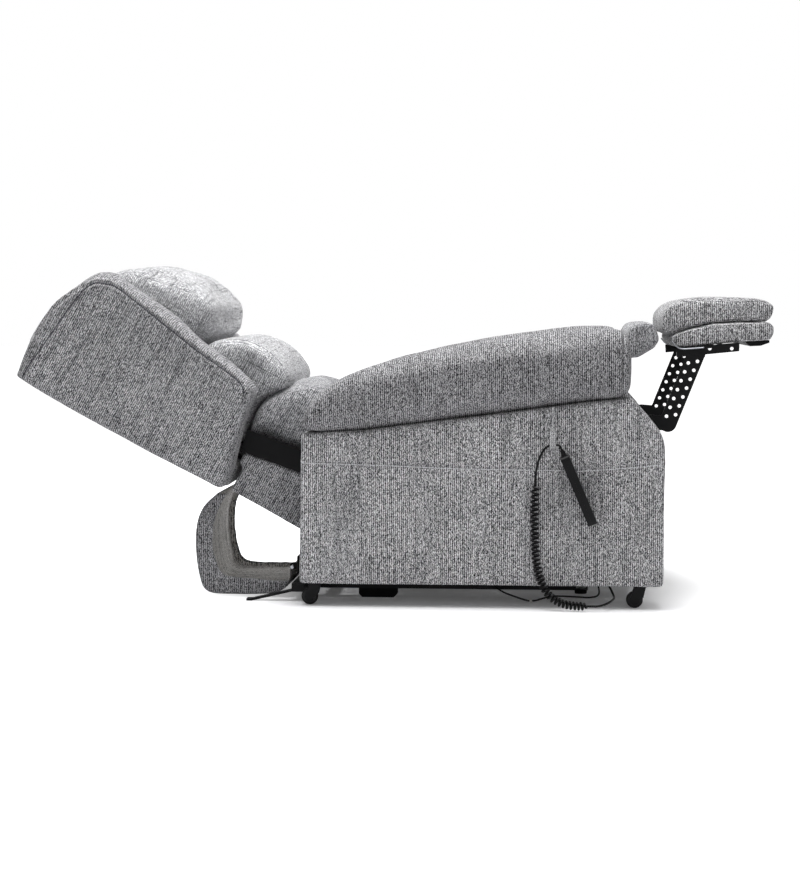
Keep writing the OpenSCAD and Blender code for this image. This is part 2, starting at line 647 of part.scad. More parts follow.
// ==== Legrest ====
leg_link_w = 30;
module legrest_links() color("#222226") {
    both_sides() difference() {
        across(leg_link_in, leg_link_out) strap_2d(legrest_shaft, legrest_pivot, leg_link_w);
        pin(legrest_pivot, hole_d, 0, 400);
    }
    pin(legrest_shaft, pin_d, -leg_link_in, leg_link_in);
}

leg_plate_w = 40;
leg_flange_w = 24;
board_under = [[644, 586.5], [787, 600]];        // line of the board's underside
plate_top = [688, 570];
plate_foot = [626, 414];
module legrest_plates() color("#1d1d20") {
    both_sides() {
        difference() {
            across(leg_plate_in, leg_plate_out) union() {
                polygon([[645, 566], [787, 580], [787, 599.6], [644, 586.1]]);
                strap_2d(plate_foot, plate_top, leg_plate_w);
                polygon([plate_top + [-21, 4], plate_top + [21, -4], [712, 583], [668, 583]]);
                strap_2d(legrest_pivot, plate_foot - [4, 0], leg_link_w + 4);
            }
            along_dir = unit(plate_top - plate_foot);
            out_dir = [along_dir[1], -along_dir[0]];
            for (k = [0 : 6], side = [-1, 1])
                pin(plate_foot + along_dir * (14 + leg_hole_pitch * k + (side > 0 ? leg_hole_pitch / 2 : 0))
                    + out_dir * side * 9, leg_hole_d, 0, 400);
            for (x = [720, 770]) pin([x, 586], leg_hole_d, 0, 400);
        }
        across(leg_plate_in - leg_flange_w, leg_plate_in)
            polygon([[650, 584.1], [787, 597], [787, 599.6], [650, 586.7]]);
        pin(legrest_pivot, pin_d, leg_plate_out - 1, leg_link_out + 0.6);
    }
}

board_outline = [[632, 611], [641, 589], [662, 588.4], [700, 592], [750, 597], [800, 601.6], [858, 605],
    [866, 620],
    [866, 636], [856, 646], [788, 645.6], [731, 642.6], [673, 629.5], [645, 620]];
module legrest_board() color("#8d8d90")
    cushion(board_outline, -seat_half - 3, seat_half + 3, 10, 4, 0);

leg_cushion_outline = [[609, 618], [606, 640], [607, 658], [620, 677], [646, 690], [690, 697.5], [740, 699],
    [800, 697.5], [845, 694], [869, 685], [872, 676], [868, 660], [856, 647.6], [788, 647.1], [731, 644.1],
    [673, 631], [642, 621], [624, 616]];
module legrest_cushion() color("#a2a2a5")
    cushion(closed_curve(leg_cushion_outline, 2), -seat_half, seat_half, 36, 9, 1);

module legrest_bumper() color("#1b1b1d") across(-seat_half + 20, seat_half - 20)
    polygon([[802, 601.4], [814, 591], [838, 592], [858, 599], [858, 604.7]]);

// ==== Back ====
band_line = [[-150, 146], [10, 120]];            // middle of the side plates, in the back plane
band_w = 52;
low_tube = [-190, 132];
high_tube = [-20, 118];
upright_y = 130;
upright_w = 40;
upright_n = rear_panel_t + 4;                    // front of the rear panel, with its play
upright_t = 5;
module back_frame() color("#1c1c1f") {
    hinge_s = (back_hinge - back_corner) * back_along;
    hinge_n = (back_hinge - back_corner) * back_out;
    both_sides() difference() {
        across(back_half - plate_t, back_half) {
            polygon(back_outline([[hinge_s - 4, hinge_n - 26], [band_line[0][0],
                band_line[0][1] - band_w / 2],
                [band_line[1][0], band_line[1][1] - band_w / 2],
                [band_line[1][0] + 13, band_line[1][1] + band_w / 2],
                [band_line[0][0], band_line[0][1] + band_w / 2], [hinge_s - 4, hinge_n + 26]]));
            disc(back_hinge, 52);
        }
        pin(back_hinge, hole_d, 0, 400);
    }
    // Cross tubes behind the pillows
    for (p = [low_tube, high_tube])
        pin(back_xz(p), 25, -(back_half - plate_t), back_half - plate_t);
    // Flat uprights between the rear panel and the pillows, cranked forward to the upper cross tube
    both_sides() across(upright_y - upright_w / 2, upright_y + upright_w / 2) polygon(back_outline([
        high_tube + [-10, -6], [high_tube[0] - 10, upright_n], [back_l - 60, upright_n],
        [back_l - 60, upright_n + upright_t], [high_tube[0] + 10, upright_n + upright_t],
        high_tube + [10, -6]]));
    // Lug for the recline rod, hung from the lower cross tube
    difference() {
        translate([0, motor_y, 0]) across(-crank_t / 2, crank_t / 2) union() {
            strap_2d(back_xz(low_tube), back_hinge, 34);
            strap_2d(back_hinge, back_lug_pin, 36);
            disc(back_lug_pin, 46);
        }
        translate([0, motor_y, 0]) across(-crank_t, crank_t)
            slot_2d(back_lug_pin, unit(back_lug_pin - back_hinge), 2 * lug_slot,
                rod_pin_d + 2 * lug_slot_play);
    }
}
lug_slot = 9;
lug_slot_play = 1.5;

box_wall = 60;
module lower_back_box() color("#87878a") difference() {
    across(-(back_half - 1), back_half - 1) polygon(back_outline([
        [-216, 1], [-12, 1], [-12, rear_panel_t + 6], [2, rear_panel_t + 6], [2, 95], [-143, 118.4],
        [-214, 108],
        [-236, 60]]));
    across(-(back_half - box_wall), back_half - box_wall) polygon(back_outline([
        [-230, 12], [-24, 12], [-24, rear_panel_t + 2], [10, rear_panel_t + 2], [10, 200], [-260, 200]]));
}

module back_rear_panel() color("#87878a") cushion(closed_curve(back_outline([
    [-2, 2], [-4, 30], [0, rear_panel_t], [60, rear_panel_t + 2], [300, rear_panel_t + 2],
    [500, rear_panel_t],
    [back_l - 16, rear_panel_t - 6], [back_l - 17, 30], [back_l - 26, 2], [300, -8], [60, -4]]), 2),
    -wing_in + 0.4, wing_in - 0.4, 14, 4, 0);

wing_outline = [[4, 4], [60, 0], [300, -6], [back_l - 30, -2], [back_l - 9, 12], [back_l, 80], [back_l, 132],
    [back_l - 9, 195], [back_l - 30, 240], [back_l - 52, 284], [back_l - 72, 308], [back_l - 100, 318],
    [440, 314],
    [356, 306], [284, 297], [213, 279], [130, 269], [66, 253], [42, 236], [37, 200], [28, 150], [11, 90],
    [0, 45]];
// Each ring of the wing: how far out it lies, as a share of the thickness, and how far it is drawn in
wing_rings = [[0, 12], [0.03, 6], [0.12, 1.5], [0.3, 0], [0.7, 0], [0.88, 2], [0.97, 8], [1, 16]];
module wing() color("#8d8d90") skin([for (s = wing_rings)
    [for (q = drawn_in(back_outline(wing_outline), s[1])) [q[0], wing_in + s[0] * wing_t, q[1]]]]);
module right_wing() mirror([0, 1, 0]) wing();
module left_wing() wing();

pillow_half = wing_in - 0.6;
pillow_n = upright_n + upright_t + 7;            // rear face of the pillows
module pillow(outline, hub = [0, 0]) color("#a0a0a3") cushion(closed_curve(back_outline(
    [for (p = outline) p[1] > 200 ? p + [0, pillow_extra] : p]), 2), -pillow_half, pillow_half, 70, 20, 4,
    hub);
module head_pillow() pillow([[236, pillow_n], [230, 130], [234, 200], [226, 270], [212, 330], [222, 366],
    [262, 379], [322, 379], [400, 364], [450, 342], [484, 306], [512, 240], [522, 150], [512, pillow_n],
    [370, pillow_n]]);
module lumbar_pillow() pillow([[44, pillow_n], [38, 130], [42, 200], [24, 238], [-14, 285], [0, 314],
    [52, 331],
    [110, 332], [160, 314], [194, 284], [207, 240], [206, 150], [212, pillow_n], [130, pillow_n]]);
module lower_pillow() pillow([[10, 114], [22, 112], [25, 140], [27.4, 205], [5.4, 252], [-38.6, 298],
    [-72, 314], [-100, 324], [-132, 320], [-156, 296], [-160, 240], [-146, 200], [-120, 176], [-40, 166],
    [0, 152]], 48 * back_along - 8 * back_out);

// ==== Rear curtain ====
cloth_t = 4;
curtain_hem_d = 14;
curtain_top = [-412, 246];
fold_gap = 1.5;
// A cloth strip along an open line, of even thickness
function strip(line, t) = let (m = len(line), side = [for (i = [0 : m - 1]) let (
        d = unit(line[min(i + 1, m - 1)] - line[max(i - 1, 0)])) [-d[1], d[0]] * t / 2])
    concat([for (i = [0 : m - 1]) line[i] + side[i]], [for (i = [m - 1 : -1 : 0]) line[i] - side[i]]);
module curtain_lower() color("#7f7d7b") difference() {
    across(-curtain_half, curtain_half) union() {
        disc(curtain_hinge, curtain_hem_d);
        polygon(strip(open_curve([curtain_hinge - [4, 3], [-300, 42], [-370, 18], [-420, 8.5],
            curtain_fold + [fold_gap + 0.3, 0]], 4), cloth_t));
    }
    pin(curtain_hinge, curtain_rod_d + 2 * pin_play, -400, 400);
    both_sides() for (y = curtain_lug_y)
        translate([curtain_hinge[0] - 10, y - 1, curtain_hinge[1] - 12]) cube([20, curtain_lug_t + 2, 24]);
}
module curtain_upper() color("#7f7d7b") across(-curtain_half, curtain_half)
    polygon(strip(open_curve([curtain_fold + [0, 0.5], [-458, 30], [-470, 100], [-463, 165], [-436, 214],
        curtain_top - [4, 4]], 4), cloth_t));

// ==== Castors ====
castor_y = (arm_in + arm_out) / 2 + 18;
castor_rear_inset = 20;    // from the arm's rear face to the castor's stem
castor_front_inset = 63;
castor_rear_x = arm_rear_x + castor_rear_inset;
castor_front_x = arm_front_x - castor_front_inset;
castor_play = 0.05;
fork_t = 3;
fork_gap = 1;
castor_plate = 5;
castor_top_gap = 0.4;
// The stem is castor_trail ahead of the axle
module castor_fork(x, y) color("#1f1f22") translate([x + castor_trail, y, 0]) {
    translate([0, 0, skirt_gap - castor_plate - castor_top_gap]) cylinder(d = 30, h = castor_plate);
    for (side = [-1, 1]) translate([0, side * (castor_w / 2 + fork_gap + fork_t / 2), 0])
        across(-fork_t / 2, fork_t / 2) {
            disc([-castor_trail, castor_d / 2], 22);
            polygon([[-castor_trail - 10, castor_d / 2 + 4], [-13, skirt_gap - castor_plate],
                [13, skirt_gap - castor_plate], [8, castor_d / 2 + 6],
                [-castor_trail + 10, castor_d / 2 - 2]]);
        }
    pin([-castor_trail, castor_d / 2], castor_axle_d, -castor_w / 2 - fork_gap, castor_w / 2 + fork_gap);
}
module castor_wheel(x, y) color("#141416") translate([x, y, castor_d / 2]) rotate([90, 0, 0])
    rotate_extrude() polygon([
        [castor_axle_d / 2 + castor_play, -castor_w / 2], [castor_d / 2 - 3, -castor_w / 2],
        [castor_d / 2 - 0.8, -castor_w / 2 + 1.5], [castor_d / 2, -castor_w / 2 + 4],
        [castor_d / 2, castor_w / 2 - 4], [castor_d / 2 - 0.8, castor_w / 2 - 1.5],
        [castor_d / 2 - 3, castor_w / 2], [castor_axle_d / 2 + castor_play, castor_w / 2]]);
module rear_right_castor_fork() castor_fork(castor_rear_x, -castor_y);
module rear_left_castor_fork() castor_fork(castor_rear_x, castor_y);
module front_right_castor_fork() castor_fork(castor_front_x, -castor_y);
module front_left_castor_fork() castor_fork(castor_front_x, castor_y);
module rear_right_castor_wheel() castor_wheel(castor_rear_x, -castor_y);
module rear_left_castor_wheel() castor_wheel(castor_rear_x, castor_y);
module front_right_castor_wheel() castor_wheel(castor_front_x, -castor_y);
module front_left_castor_wheel() castor_wheel(castor_front_x, castor_y);

// ==== Handset ====
handset_top = [388, 350];
handset_lean = 67;     // of its long axis, below the horizontal
handset_y = -(arm_out + 1 + handset_w / 2);
gland_l = 14;
// Local frame: x down the handset from its top end, z out of its button face
module at_handset() translate([handset_top[0], handset_y, handset_top[1]]) rotate([0, handset_lean, 0])
    children();
module rounded_plate(l, w, r, t) linear_extrude(t) {
    translate([r, -w / 2]) square([l - 2 * r, w]);
    translate([0, -w / 2 + r]) square([l, w - 2 * r]);
    for (x = [r, l - r], y = [-w / 2 + r, w / 2 - r]) translate([x, y]) circle(r = r);
}
button_x = [46, 46, 82, 82];
button_y = [-9, 9, -9, 9];
module handset_case() color("#1a1a1c") at_handset() difference() {
    union() {
        translate([0, 0, -handset_t / 2]) rounded_plate(handset_l, handset_w, 12, handset_t / 2 - 0.5);
        translate([1, 0, -0.5]) rounded_plate(handset_l - 2, handset_w - 2, 11, 1);
        translate([0, 0, 0.5]) rounded_plate(handset_l, handset_w, 12, handset_t / 2 - 0.5);
    }
    for (i = [0 : 3]) translate([button_x[i], button_y[i], handset_t / 2 - 4])
        cylinder(d = button_d + 0.8, h = 10);
}
module button(i) color("#3b3c40") at_handset()
    translate([button_x[i], button_y[i], handset_t / 2 - 4 + button_travel + 0.3])
        cylinder(d = button_d, h = 4);
module button_back_up() button(0);
module button_back_down() button(1);
module button_legs_up() button(2);
module button_legs_down() button(3);
module handset_gland() color("#161618")
    at_handset() translate([-gland_l, 0, 0]) rotate([0, 90, 0]) cylinder(d1 = 8, d2 = 13, h = gland_l);

strap_x = 363;
strap_w = 14;
strap_neck_w = 6;      // where it is sewn in
strap_t = 2;
loop_in = 8;
loop_z = 372;
strap_top_z = 457.6;   // under the arm pad
// Sewn into the seam under the arm pad, out over the arm's face and down to a loop for the cord
module handset_strap() color("#9a9a9d") {
    translate([strap_x - strap_w / 2, handset_y, loop_z]) rotate([0, 90, 0]) difference() {
        cylinder(d = loop_in + 2 * strap_t, h = strap_w);
        translate([0, 0, -1]) cylinder(d = loop_in, h = strap_w + 2);
    }
    translate([strap_x, handset_y, 0]) rotate([90, 0, 0]) linear_extrude(strap_t, center = true) polygon([
        [-strap_w / 2, loop_z + loop_in / 2 + 0.4], [strap_w / 2, loop_z + loop_in / 2 + 0.4],
        [strap_w / 2 - 1, loop_z + 20], [strap_neck_w / 2, strap_top_z - 30],
        [strap_neck_w / 2, strap_top_z],
        [-strap_neck_w / 2, strap_top_z], [-strap_neck_w / 2, strap_top_z - 30],
        [1 - strap_w / 2, loop_z + 20]]);
    translate([strap_x - strap_neck_w / 2, handset_y, strap_top_z - strap_t])
        cube([strap_neck_w, -arm_out - 0.2 - handset_y, strap_t]);
}

// ---- Cords
// A point on the handset's long axis, l beyond the end of the gland
function past_gland(l) = [handset_top[0] - (gland_l + l) * cos(handset_lean), handset_y,
    handset_top[1] + (gland_l + l) * sin(handset_lean)];
// From the gland, over the strap's loop, down to the curls
cord_route = [[374, -411, 373], [363, -411, 372.5], [348, -411, 368], [336, -410, 350], [329, -407, 330],
    [326, -404, 313], [325, -403, 302], [325, -403, 296], [325, -403, 290]];
coil_route = [[325, -403, 290], [325, -403, 284], [325, -403, 278], [324, -402, 262], [323, -402, 224],
    [324, -402, 161], [327, -402, 114], [336, -403, 72], [352, -406, 40], [376, -410, 21], [404, -414, 13.5],
    [432, -417, 12.5], [440, -417, 12.5], [448, -417, 12.5]];
tail_route = [[448, -417, 12.5], [455, -417, 12.5], [462, -417, 12.5], [474, -412, 14], [489, -392, 17],
    [500, -352, 19], [504, -312, 19], [500, -272, 26], [490, -242, 44], [482, -222, 66], [480, -212, 79],
    [480, -206, 79], [480, -200, 79]];
// From the rail's underside, down to the floor and along it, and up to the control box
lead_route = [[222, -252, 60], [222, -252, 55], [222, -252, 50], [228, -260, 36], [250, -276, 23],
    [280, -292, 14],
    [304, -299, 7.5], [314, -300, 7], [324, -300, 7.5], [340, -300, 12], [365, -300, 18], [415, -300, 17],
    [448, -294, 15], [468, -276, 18],
    [470, -254, 32], [460, -232, 58], [452, -218, 78], [450, -211, 84], [450, -206, 84], [450, -200, 84]];
lead_tie_at = lead_route[7];

module handset_cord() color("#141416") skin(tube_rings(
    open_curve(concat([past_gland(0), past_gland(4), past_gland(8)], cord_route), 4), cord_d, 8, [0, 1, 0]));

// The curls: a helix about the coil's route, straight for one cord diameter at each end
coil_line = open_curve(coil_route, 6);
coil_steps = [for (i = [0 : len(coil_line) - 1]) i == 0 ? 0 : norm(coil_line[i] - coil_line[i - 1])];
function run(v, i) = i == 0 ? 0 : v[i] + run(v, i - 1);
coil_run = [for (i = [0 : len(coil_steps) - 1]) run(coil_steps, i)];
coil_length = coil_run[len(coil_run) - 1];
function coil_at(l) =
    [for (k = [0 : 2]) lookup(l, [for (i = [0 : len(coil_run) - 1]) [coil_run[i], coil_line[i][k]]])];
curl_rings = 8;
curl_stretch = 0.18;
curl_start = 14;       // length over which the curls open out at each end
function coil_point(l) = let (
    c = coil_at(l), t = unit(coil_at(min(l + 2, coil_length)) - coil_at(max(l - 2, 0))),
    u = unit(cross(t, [0, 1, 0])), v = cross(u, t),
    ease = min(1, max(0, l - cord_d) / curl_start, max(0, coil_length - cord_d - l) / curl_start),
    r = (coil_d - cord_d) / 2 * sin(90 * ease),
    share = (l - cord_d) / (coil_length - 2 * cord_d),
    // Stretched where it hangs and closer where it lies on the floor
    a = 360 * coil_turns * (share + curl_stretch * (share * share - share)))
    c + r * (cos(a) * u + sin(a) * v);
coil_path = concat([coil_point(0)],
    [for (i = [0 : coil_turns * curl_rings])
        coil_point(cord_d + (coil_length - 2 * cord_d) * i / (coil_turns * curl_rings))],
    [coil_point(coil_length)]);
module handset_coil() color("#141416") skin(tube_rings(coil_path, cord_d, 6, [0.02, 1, 0.01]));
// Least gap between the cord and its next curl
coil_last = len(coil_path) - 1;
coil_self_gap = min([for (i = [curl_rings : coil_last - curl_rings]) for (k = [-2 : 2])
    norm(coil_path[i] - coil_path[min(i + curl_rings + k, coil_last)])]) - cord_d;
echo(coil_self_gap = coil_self_gap);

module handset_tail() color("#141416") skin(tube_rings(open_curve(tail_route, 4), cord_d, 8, [0.9, 0,
    0.45]));
module control_lead() color("#141416") skin(tube_rings(open_curve(lead_route, 4), lead_d, 8, [1, -1, 1]));
module lead_tie() color("#d8d8d4") translate(lead_tie_at - [3, 0, 0])
    rotate([0, 90, 0]) difference() {
        cylinder(d = lead_d + 5, h = 6);
        translate([0, 0, -1]) cylinder(d = lead_d + 1.2, h = 8);
    }

base_frame();
base_feet();
stabiliser_bars();
base_pins();
rear_lift_links();
front_lift_links();
chassis_frame();
chassis_pins();
curtain_rod();
control_box();
lift_motor();
lift_rod();
recline_motor();
recline_rod();
right_arm_box();
left_arm_box();
right_arm_pad();
left_arm_pad();
seat_frame();
seat_rear_deck();
seat_springs();
seat_cushion();
seat_front_roll();
legrest_links();
legrest_plates();
legrest_board();
legrest_cushion();
legrest_bumper();
back_frame();
lower_back_box();
back_rear_panel();
right_wing();
left_wing();
head_pillow();
lumbar_pillow();
lower_pillow();
curtain_lower();
curtain_upper();
rear_right_castor_fork();
rear_left_castor_fork();
front_right_castor_fork();
front_left_castor_fork();
rear_right_castor_wheel();
rear_left_castor_wheel();
front_right_castor_wheel();
front_left_castor_wheel();
handset_case();
handset_gland();
button_back_up();
button_back_down();
button_legs_up();
button_legs_down();
handset_strap();
handset_cord();
handset_coil();
handset_tail();
control_lead();
lead_tie();
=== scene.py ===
"""Lift recliner chair, dressed: tweed upholstery, black steelwork, castors, a corded handset and its lead.

Lengths in the code are millimetres in the row frame, X forward, Y to the sitter's left and Z up, and they
turn to metres where a mesh is made. A side outline is a list of points in one side plane.
"""

import logging
import math
from dataclasses import dataclass, field
from enum import Enum
from typing import ClassVar, Iterable, Sequence

import bmesh
import bpy
import numpy as np
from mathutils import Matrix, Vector, kdtree, noise
from mathutils.bvhtree import BVHTree


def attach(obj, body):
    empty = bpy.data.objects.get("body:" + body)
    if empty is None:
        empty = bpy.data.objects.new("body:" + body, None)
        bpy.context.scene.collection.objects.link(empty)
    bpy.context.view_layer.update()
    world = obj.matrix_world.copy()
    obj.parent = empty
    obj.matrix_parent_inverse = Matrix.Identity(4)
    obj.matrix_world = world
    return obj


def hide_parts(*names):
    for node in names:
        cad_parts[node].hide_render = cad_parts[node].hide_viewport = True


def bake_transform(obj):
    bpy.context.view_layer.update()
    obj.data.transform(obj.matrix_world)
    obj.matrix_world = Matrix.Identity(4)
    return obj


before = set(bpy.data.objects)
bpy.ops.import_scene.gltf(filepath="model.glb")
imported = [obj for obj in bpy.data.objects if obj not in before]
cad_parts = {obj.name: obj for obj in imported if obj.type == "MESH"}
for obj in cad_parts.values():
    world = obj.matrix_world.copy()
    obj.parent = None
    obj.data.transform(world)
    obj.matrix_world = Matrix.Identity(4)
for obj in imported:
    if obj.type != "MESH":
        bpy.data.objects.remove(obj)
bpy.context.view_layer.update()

log = logging.getLogger("recliner")
MM = 0.001
WEAVE = "weave"          # the mesh attribute that holds where each face lies in its cloth
QUARTER_TURN = math.pi / 2
FULL_TURN = 2 * math.pi

Point2 = tuple[float, float]
Point3 = tuple[float, float, float]
Limit = tuple[Point3, float]      # a plane's normal and its offset along it, in millimetres


# ---------------------------------------------------------------- colour and nodes
def linear(code: str) -> tuple[float, float, float, float]:
    """Turns an sRGB hex colour to linear light.

    Args:
        code: the colour as #rrggbb.

    Returns:
        Linear red, green, blue and an alpha of 1.
    """
    parts = [int(code[i:i + 2], 16) / 255 for i in (1, 3, 5)]
    return (*[c / 12.92 if c <= 0.04045 else ((c + 0.055) / 1.055) ** 2.4 for c in parts], 1.0)


def add_node(tree: bpy.types.NodeTree, kind: str, settings: dict | None = None,
             links: dict | None = None) -> bpy.types.Node:
    """Adds one node with its settings and its incoming links.

    Args:
        tree: the node tree that it goes in.
        kind: the node's type, without the ShaderNode in front.
        settings: values by socket name or number, or by the node's own property name.
        links: output sockets by the name or number of the input that they feed.

    Returns:
        The new node.
    """
    node = tree.nodes.new("ShaderNode" + kind)
    for key, value in (settings or {}).items():
        if isinstance(key, int) or key in node.inputs:
            node.inputs[key].default_value = value
        else:
            setattr(node, key, value)
    for key, source in (links or {}).items():
        tree.links.new(source, node.inputs[key])
    return node


def blank_material(name: str) -> tuple[bpy.types.Material, bpy.types.NodeTree, bpy.types.Node]:
    """Makes a material that holds only an output and a Principled shader.

    Args:
        name: the material's name.

    Returns:
        The material, its tree and the shader.
    """
    material = bpy.data.materials.new(name)
    material.use_nodes = True
    tree = material.node_tree
    tree.nodes.clear()
    shader = add_node(tree, "BsdfPrincipled")
    add_node(tree, "OutputMaterial", links={"Surface": shader.outputs[0]})
    return material, tree, shader


def ramp(tree: bpy.types.NodeTree, source: bpy.types.NodeSocket,
         stops: Sequence[tuple[float, str]]) -> bpy.types.NodeSocket:
    """Colours a value through a ramp.

    Args:
        tree: the node tree.
        source: the value's socket.
        stops: places and hex colours, from low to high.

    Returns:
        The colour's socket.
    """
    node = add_node(tree, "ValToRGB", links={0: source})
    elements = node.color_ramp.elements
    while len(elements) < len(stops):
        elements.new(0.5)
    for element, (place, code) in zip(elements, stops):
        element.position = place
        element.color = linear(code)
    return node.outputs[0]


# ---------------------------------------------------------------- finishes
@dataclass(frozen=True)
class Tweed:
    """Polyester chenille tweed, woven: flecked salt-and-pepper yarn that stands up in fine ribs.

    The eye gets a mid grey that breaks into light and dark flecks, upright ribs, and darker slub threads.
    A real rib is about 3 mm; it is drawn at rib_mm, as coarse as it has to be to show.
    """

    name: str
    dark: str = "#18181a"
    mid: str = "#878689"
    light: str = "#f6f6f7"
    rib_mm: float = 4.6
    fleck_mm: tuple[float, float] = (2.2, 3.9)
    slub: float = 0.30
    cross_slub: float = 0.0
    slub_share: float = 0.46
    relief_mm: float = 0.8

    # How much yarn, fleck and rib count in the height of the pile, and where the three tones lie in it
    YARN_WEIGHT: ClassVar[float] = 0.62
    FLECK_WEIGHT: ClassVar[float] = 0.20
    RIB_WEIGHT: ClassVar[float] = 0.18
    TONE_PLACES: ClassVar[Point3] = (0.36, 0.49, 0.62)
    # A wave texture of scale 1 repeats at this share of a unit
    WAVE_PERIOD: ClassVar[float] = 0.31416
    # Slubs per metre across the cloth, along it and through it: those along the ribs, then across them
    SLUBS: ClassVar[Point3] = (230, 6, 33)
    CROSS_SLUBS: ClassVar[Point3] = (7, 210, 33)
    SLUB_FADE: ClassVar[float] = 0.09
    # Broad clouds in the tone, per metre, and how dark and how light they get
    CLOUDS: ClassVar[float] = 7.0
    CLOUD_TONES: ClassVar[Point2] = (0.90, 1.08)

    def build(self) -> bpy.types.Material:
        """Makes the material."""
        material, tree, shader = blank_material(self.name)
        cloth = add_node(tree, "Attribute", {"attribute_name": WEAVE}).outputs["Vector"]
        across, along = self.fleck_mm
        yarn_place = add_node(tree, "VectorMath", {
            "operation": "MULTIPLY", 1: (1000 / across, 1000 / along, 1000 / across)}, {0: cloth})
        yarn = add_node(tree, "TexNoise", {"Scale": 1.9, "Detail": 1.0, "Roughness": 0.6},
                        {"Vector": yarn_place.outputs[0]})
        fleck = add_node(tree, "TexVoronoi", {"Scale": 1.15, "Randomness": 1.0},
                         {"Vector": yarn_place.outputs[0]})
        fleck_value = add_node(tree, "SeparateColor", links={0: fleck.outputs["Color"]})
        ribs = add_node(tree, "TexWave", {
            "wave_type": "BANDS", "bands_direction": "X", "Scale": self.WAVE_PERIOD * 1000 / self.rib_mm,
            "Distortion": 3.0, "Detail": 1.0, "Detail Scale": 3.0}, {"Vector": cloth})
        flecks = add_node(tree, "Math", {"operation": "MULTIPLY", 1: self.FLECK_WEIGHT},
                          {0: fleck_value.outputs[0]})
        pile = add_node(tree, "Math", {"operation": "MULTIPLY_ADD", 1: self.YARN_WEIGHT},
                        {0: yarn.outputs[0], 2: flecks.outputs[0]})
        height = add_node(tree, "Math", {"operation": "MULTIPLY_ADD", 1: self.RIB_WEIGHT},
                          {0: ribs.outputs["Fac"], 2: pile.outputs[0]})
        colour = ramp(tree, height.outputs[0],
                      list(zip(self.TONE_PLACES, (self.dark, self.mid, self.light))))
        colour = self._darker(tree, colour, cloth, self.SLUBS, self.slub)
        if self.cross_slub:
            colour = self._darker(tree, colour, cloth, self.CROSS_SLUBS, self.cross_slub)
        cloud = add_node(tree, "TexNoise", {"Scale": self.CLOUDS, "Detail": 2.0}, {"Vector": cloth})
        faint, strong = self.CLOUD_TONES
        cloud_tone = add_node(tree, "MapRange", {1: 0.3, 2: 0.7, 3: faint, 4: strong},
                              {0: cloud.outputs[0]})
        toned = add_node(tree, "VectorMath", {"operation": "SCALE"},
                         {0: colour, "Scale": cloud_tone.outputs[0]})
        tree.links.new(toned.outputs[0], shader.inputs["Base Color"])
        bump = add_node(tree, "Bump", {"Strength": 0.65, "Distance": self.relief_mm * MM},
                        {"Height": height.outputs[0]})
        tree.links.new(bump.outputs[0], shader.inputs["Normal"])
        shader.inputs["Roughness"].default_value = 0.93
        shader.inputs["Specular IOR Level"].default_value = 0.18
        shader.inputs["Sheen Weight"].default_value = 0.12
        shader.inputs["Sheen Roughness"].default_value = 0.45
        return material

    def _darker(self, tree: bpy.types.NodeTree, colour: bpy.types.NodeSocket, cloth: bpy.types.NodeSocket,
                scale: Point3, amount: float) -> bpy.types.NodeSocket:
        """Draws darker slub threads over a colour.

        Args:
            tree: the node tree.
            colour: the colour so far.
            cloth: the weave's coordinates.
            scale: how close the threads lie along each of them, per metre.
            amount: how much darker a thread is.

        Returns:
            The darkened colour's socket.
        """
        place = add_node(tree, "VectorMath", {"operation": "MULTIPLY", 1: scale}, {0: cloth})
        thread = add_node(tree, "TexNoise", {"Scale": 1.0, "Detail": 1.0}, {"Vector": place.outputs[0]})
        tone = add_node(tree, "MapRange", {1: self.slub_share - self.SLUB_FADE, 2: self.slub_share,
                                           3: 1 - amount, 4: 1.03}, {0: thread.outputs[0]})
        return add_node(tree, "VectorMath", {"operation": "SCALE"},
                        {0: colour, "Scale": tone.outputs[0]}).outputs[0]


@dataclass(frozen=True)
class Coated:
    """Steel under a coat, or a moulded plastic or rubber: one colour, a fine grain and a soft gloss.

    The eye gets a nearly even tone whose highlights break up on the grain, with dust-pale patches.
    """

    name: str
    colour: str
    dust: str
    roughness: float
    grain_mm: float = 1.2
    relief_mm: float = 0.06
    patch: float = 0.5
    specular: float = 0.5

    def build(self) -> bpy.types.Material:
        """Makes the material."""
        material, tree, shader = blank_material(self.name)
        place = add_node(tree, "TexCoord").outputs["Object"]
        patches = add_node(tree, "TexNoise", {"Scale": 14.0, "Detail": 4.0, "Roughness": 0.6},
                           {"Vector": place})
        colour = ramp(tree, patches.outputs[0], [(0.35, self.colour), (0.35 + self.patch, self.dust)])
        tree.links.new(colour, shader.inputs["Base Color"])
        rough = add_node(tree, "MapRange", {1: 0.3, 2: 0.7, 3: self.roughness - 0.07,
                                            4: self.roughness + 0.08}, {0: patches.outputs[0]})
        tree.links.new(rough.outputs[0], shader.inputs["Roughness"])
        grain = add_node(tree, "TexNoise", {"Scale": 1000 / self.grain_mm, "Detail": 2.0}, {"Vector": place})
        bump = add_node(tree, "Bump", {"Strength": 0.5, "Distance": self.relief_mm * MM},
                        {"Height": grain.outputs[0]})
        tree.links.new(bump.outputs[0], shader.inputs["Normal"])
        shader.inputs["Specular IOR Level"].default_value = self.specular
        return material


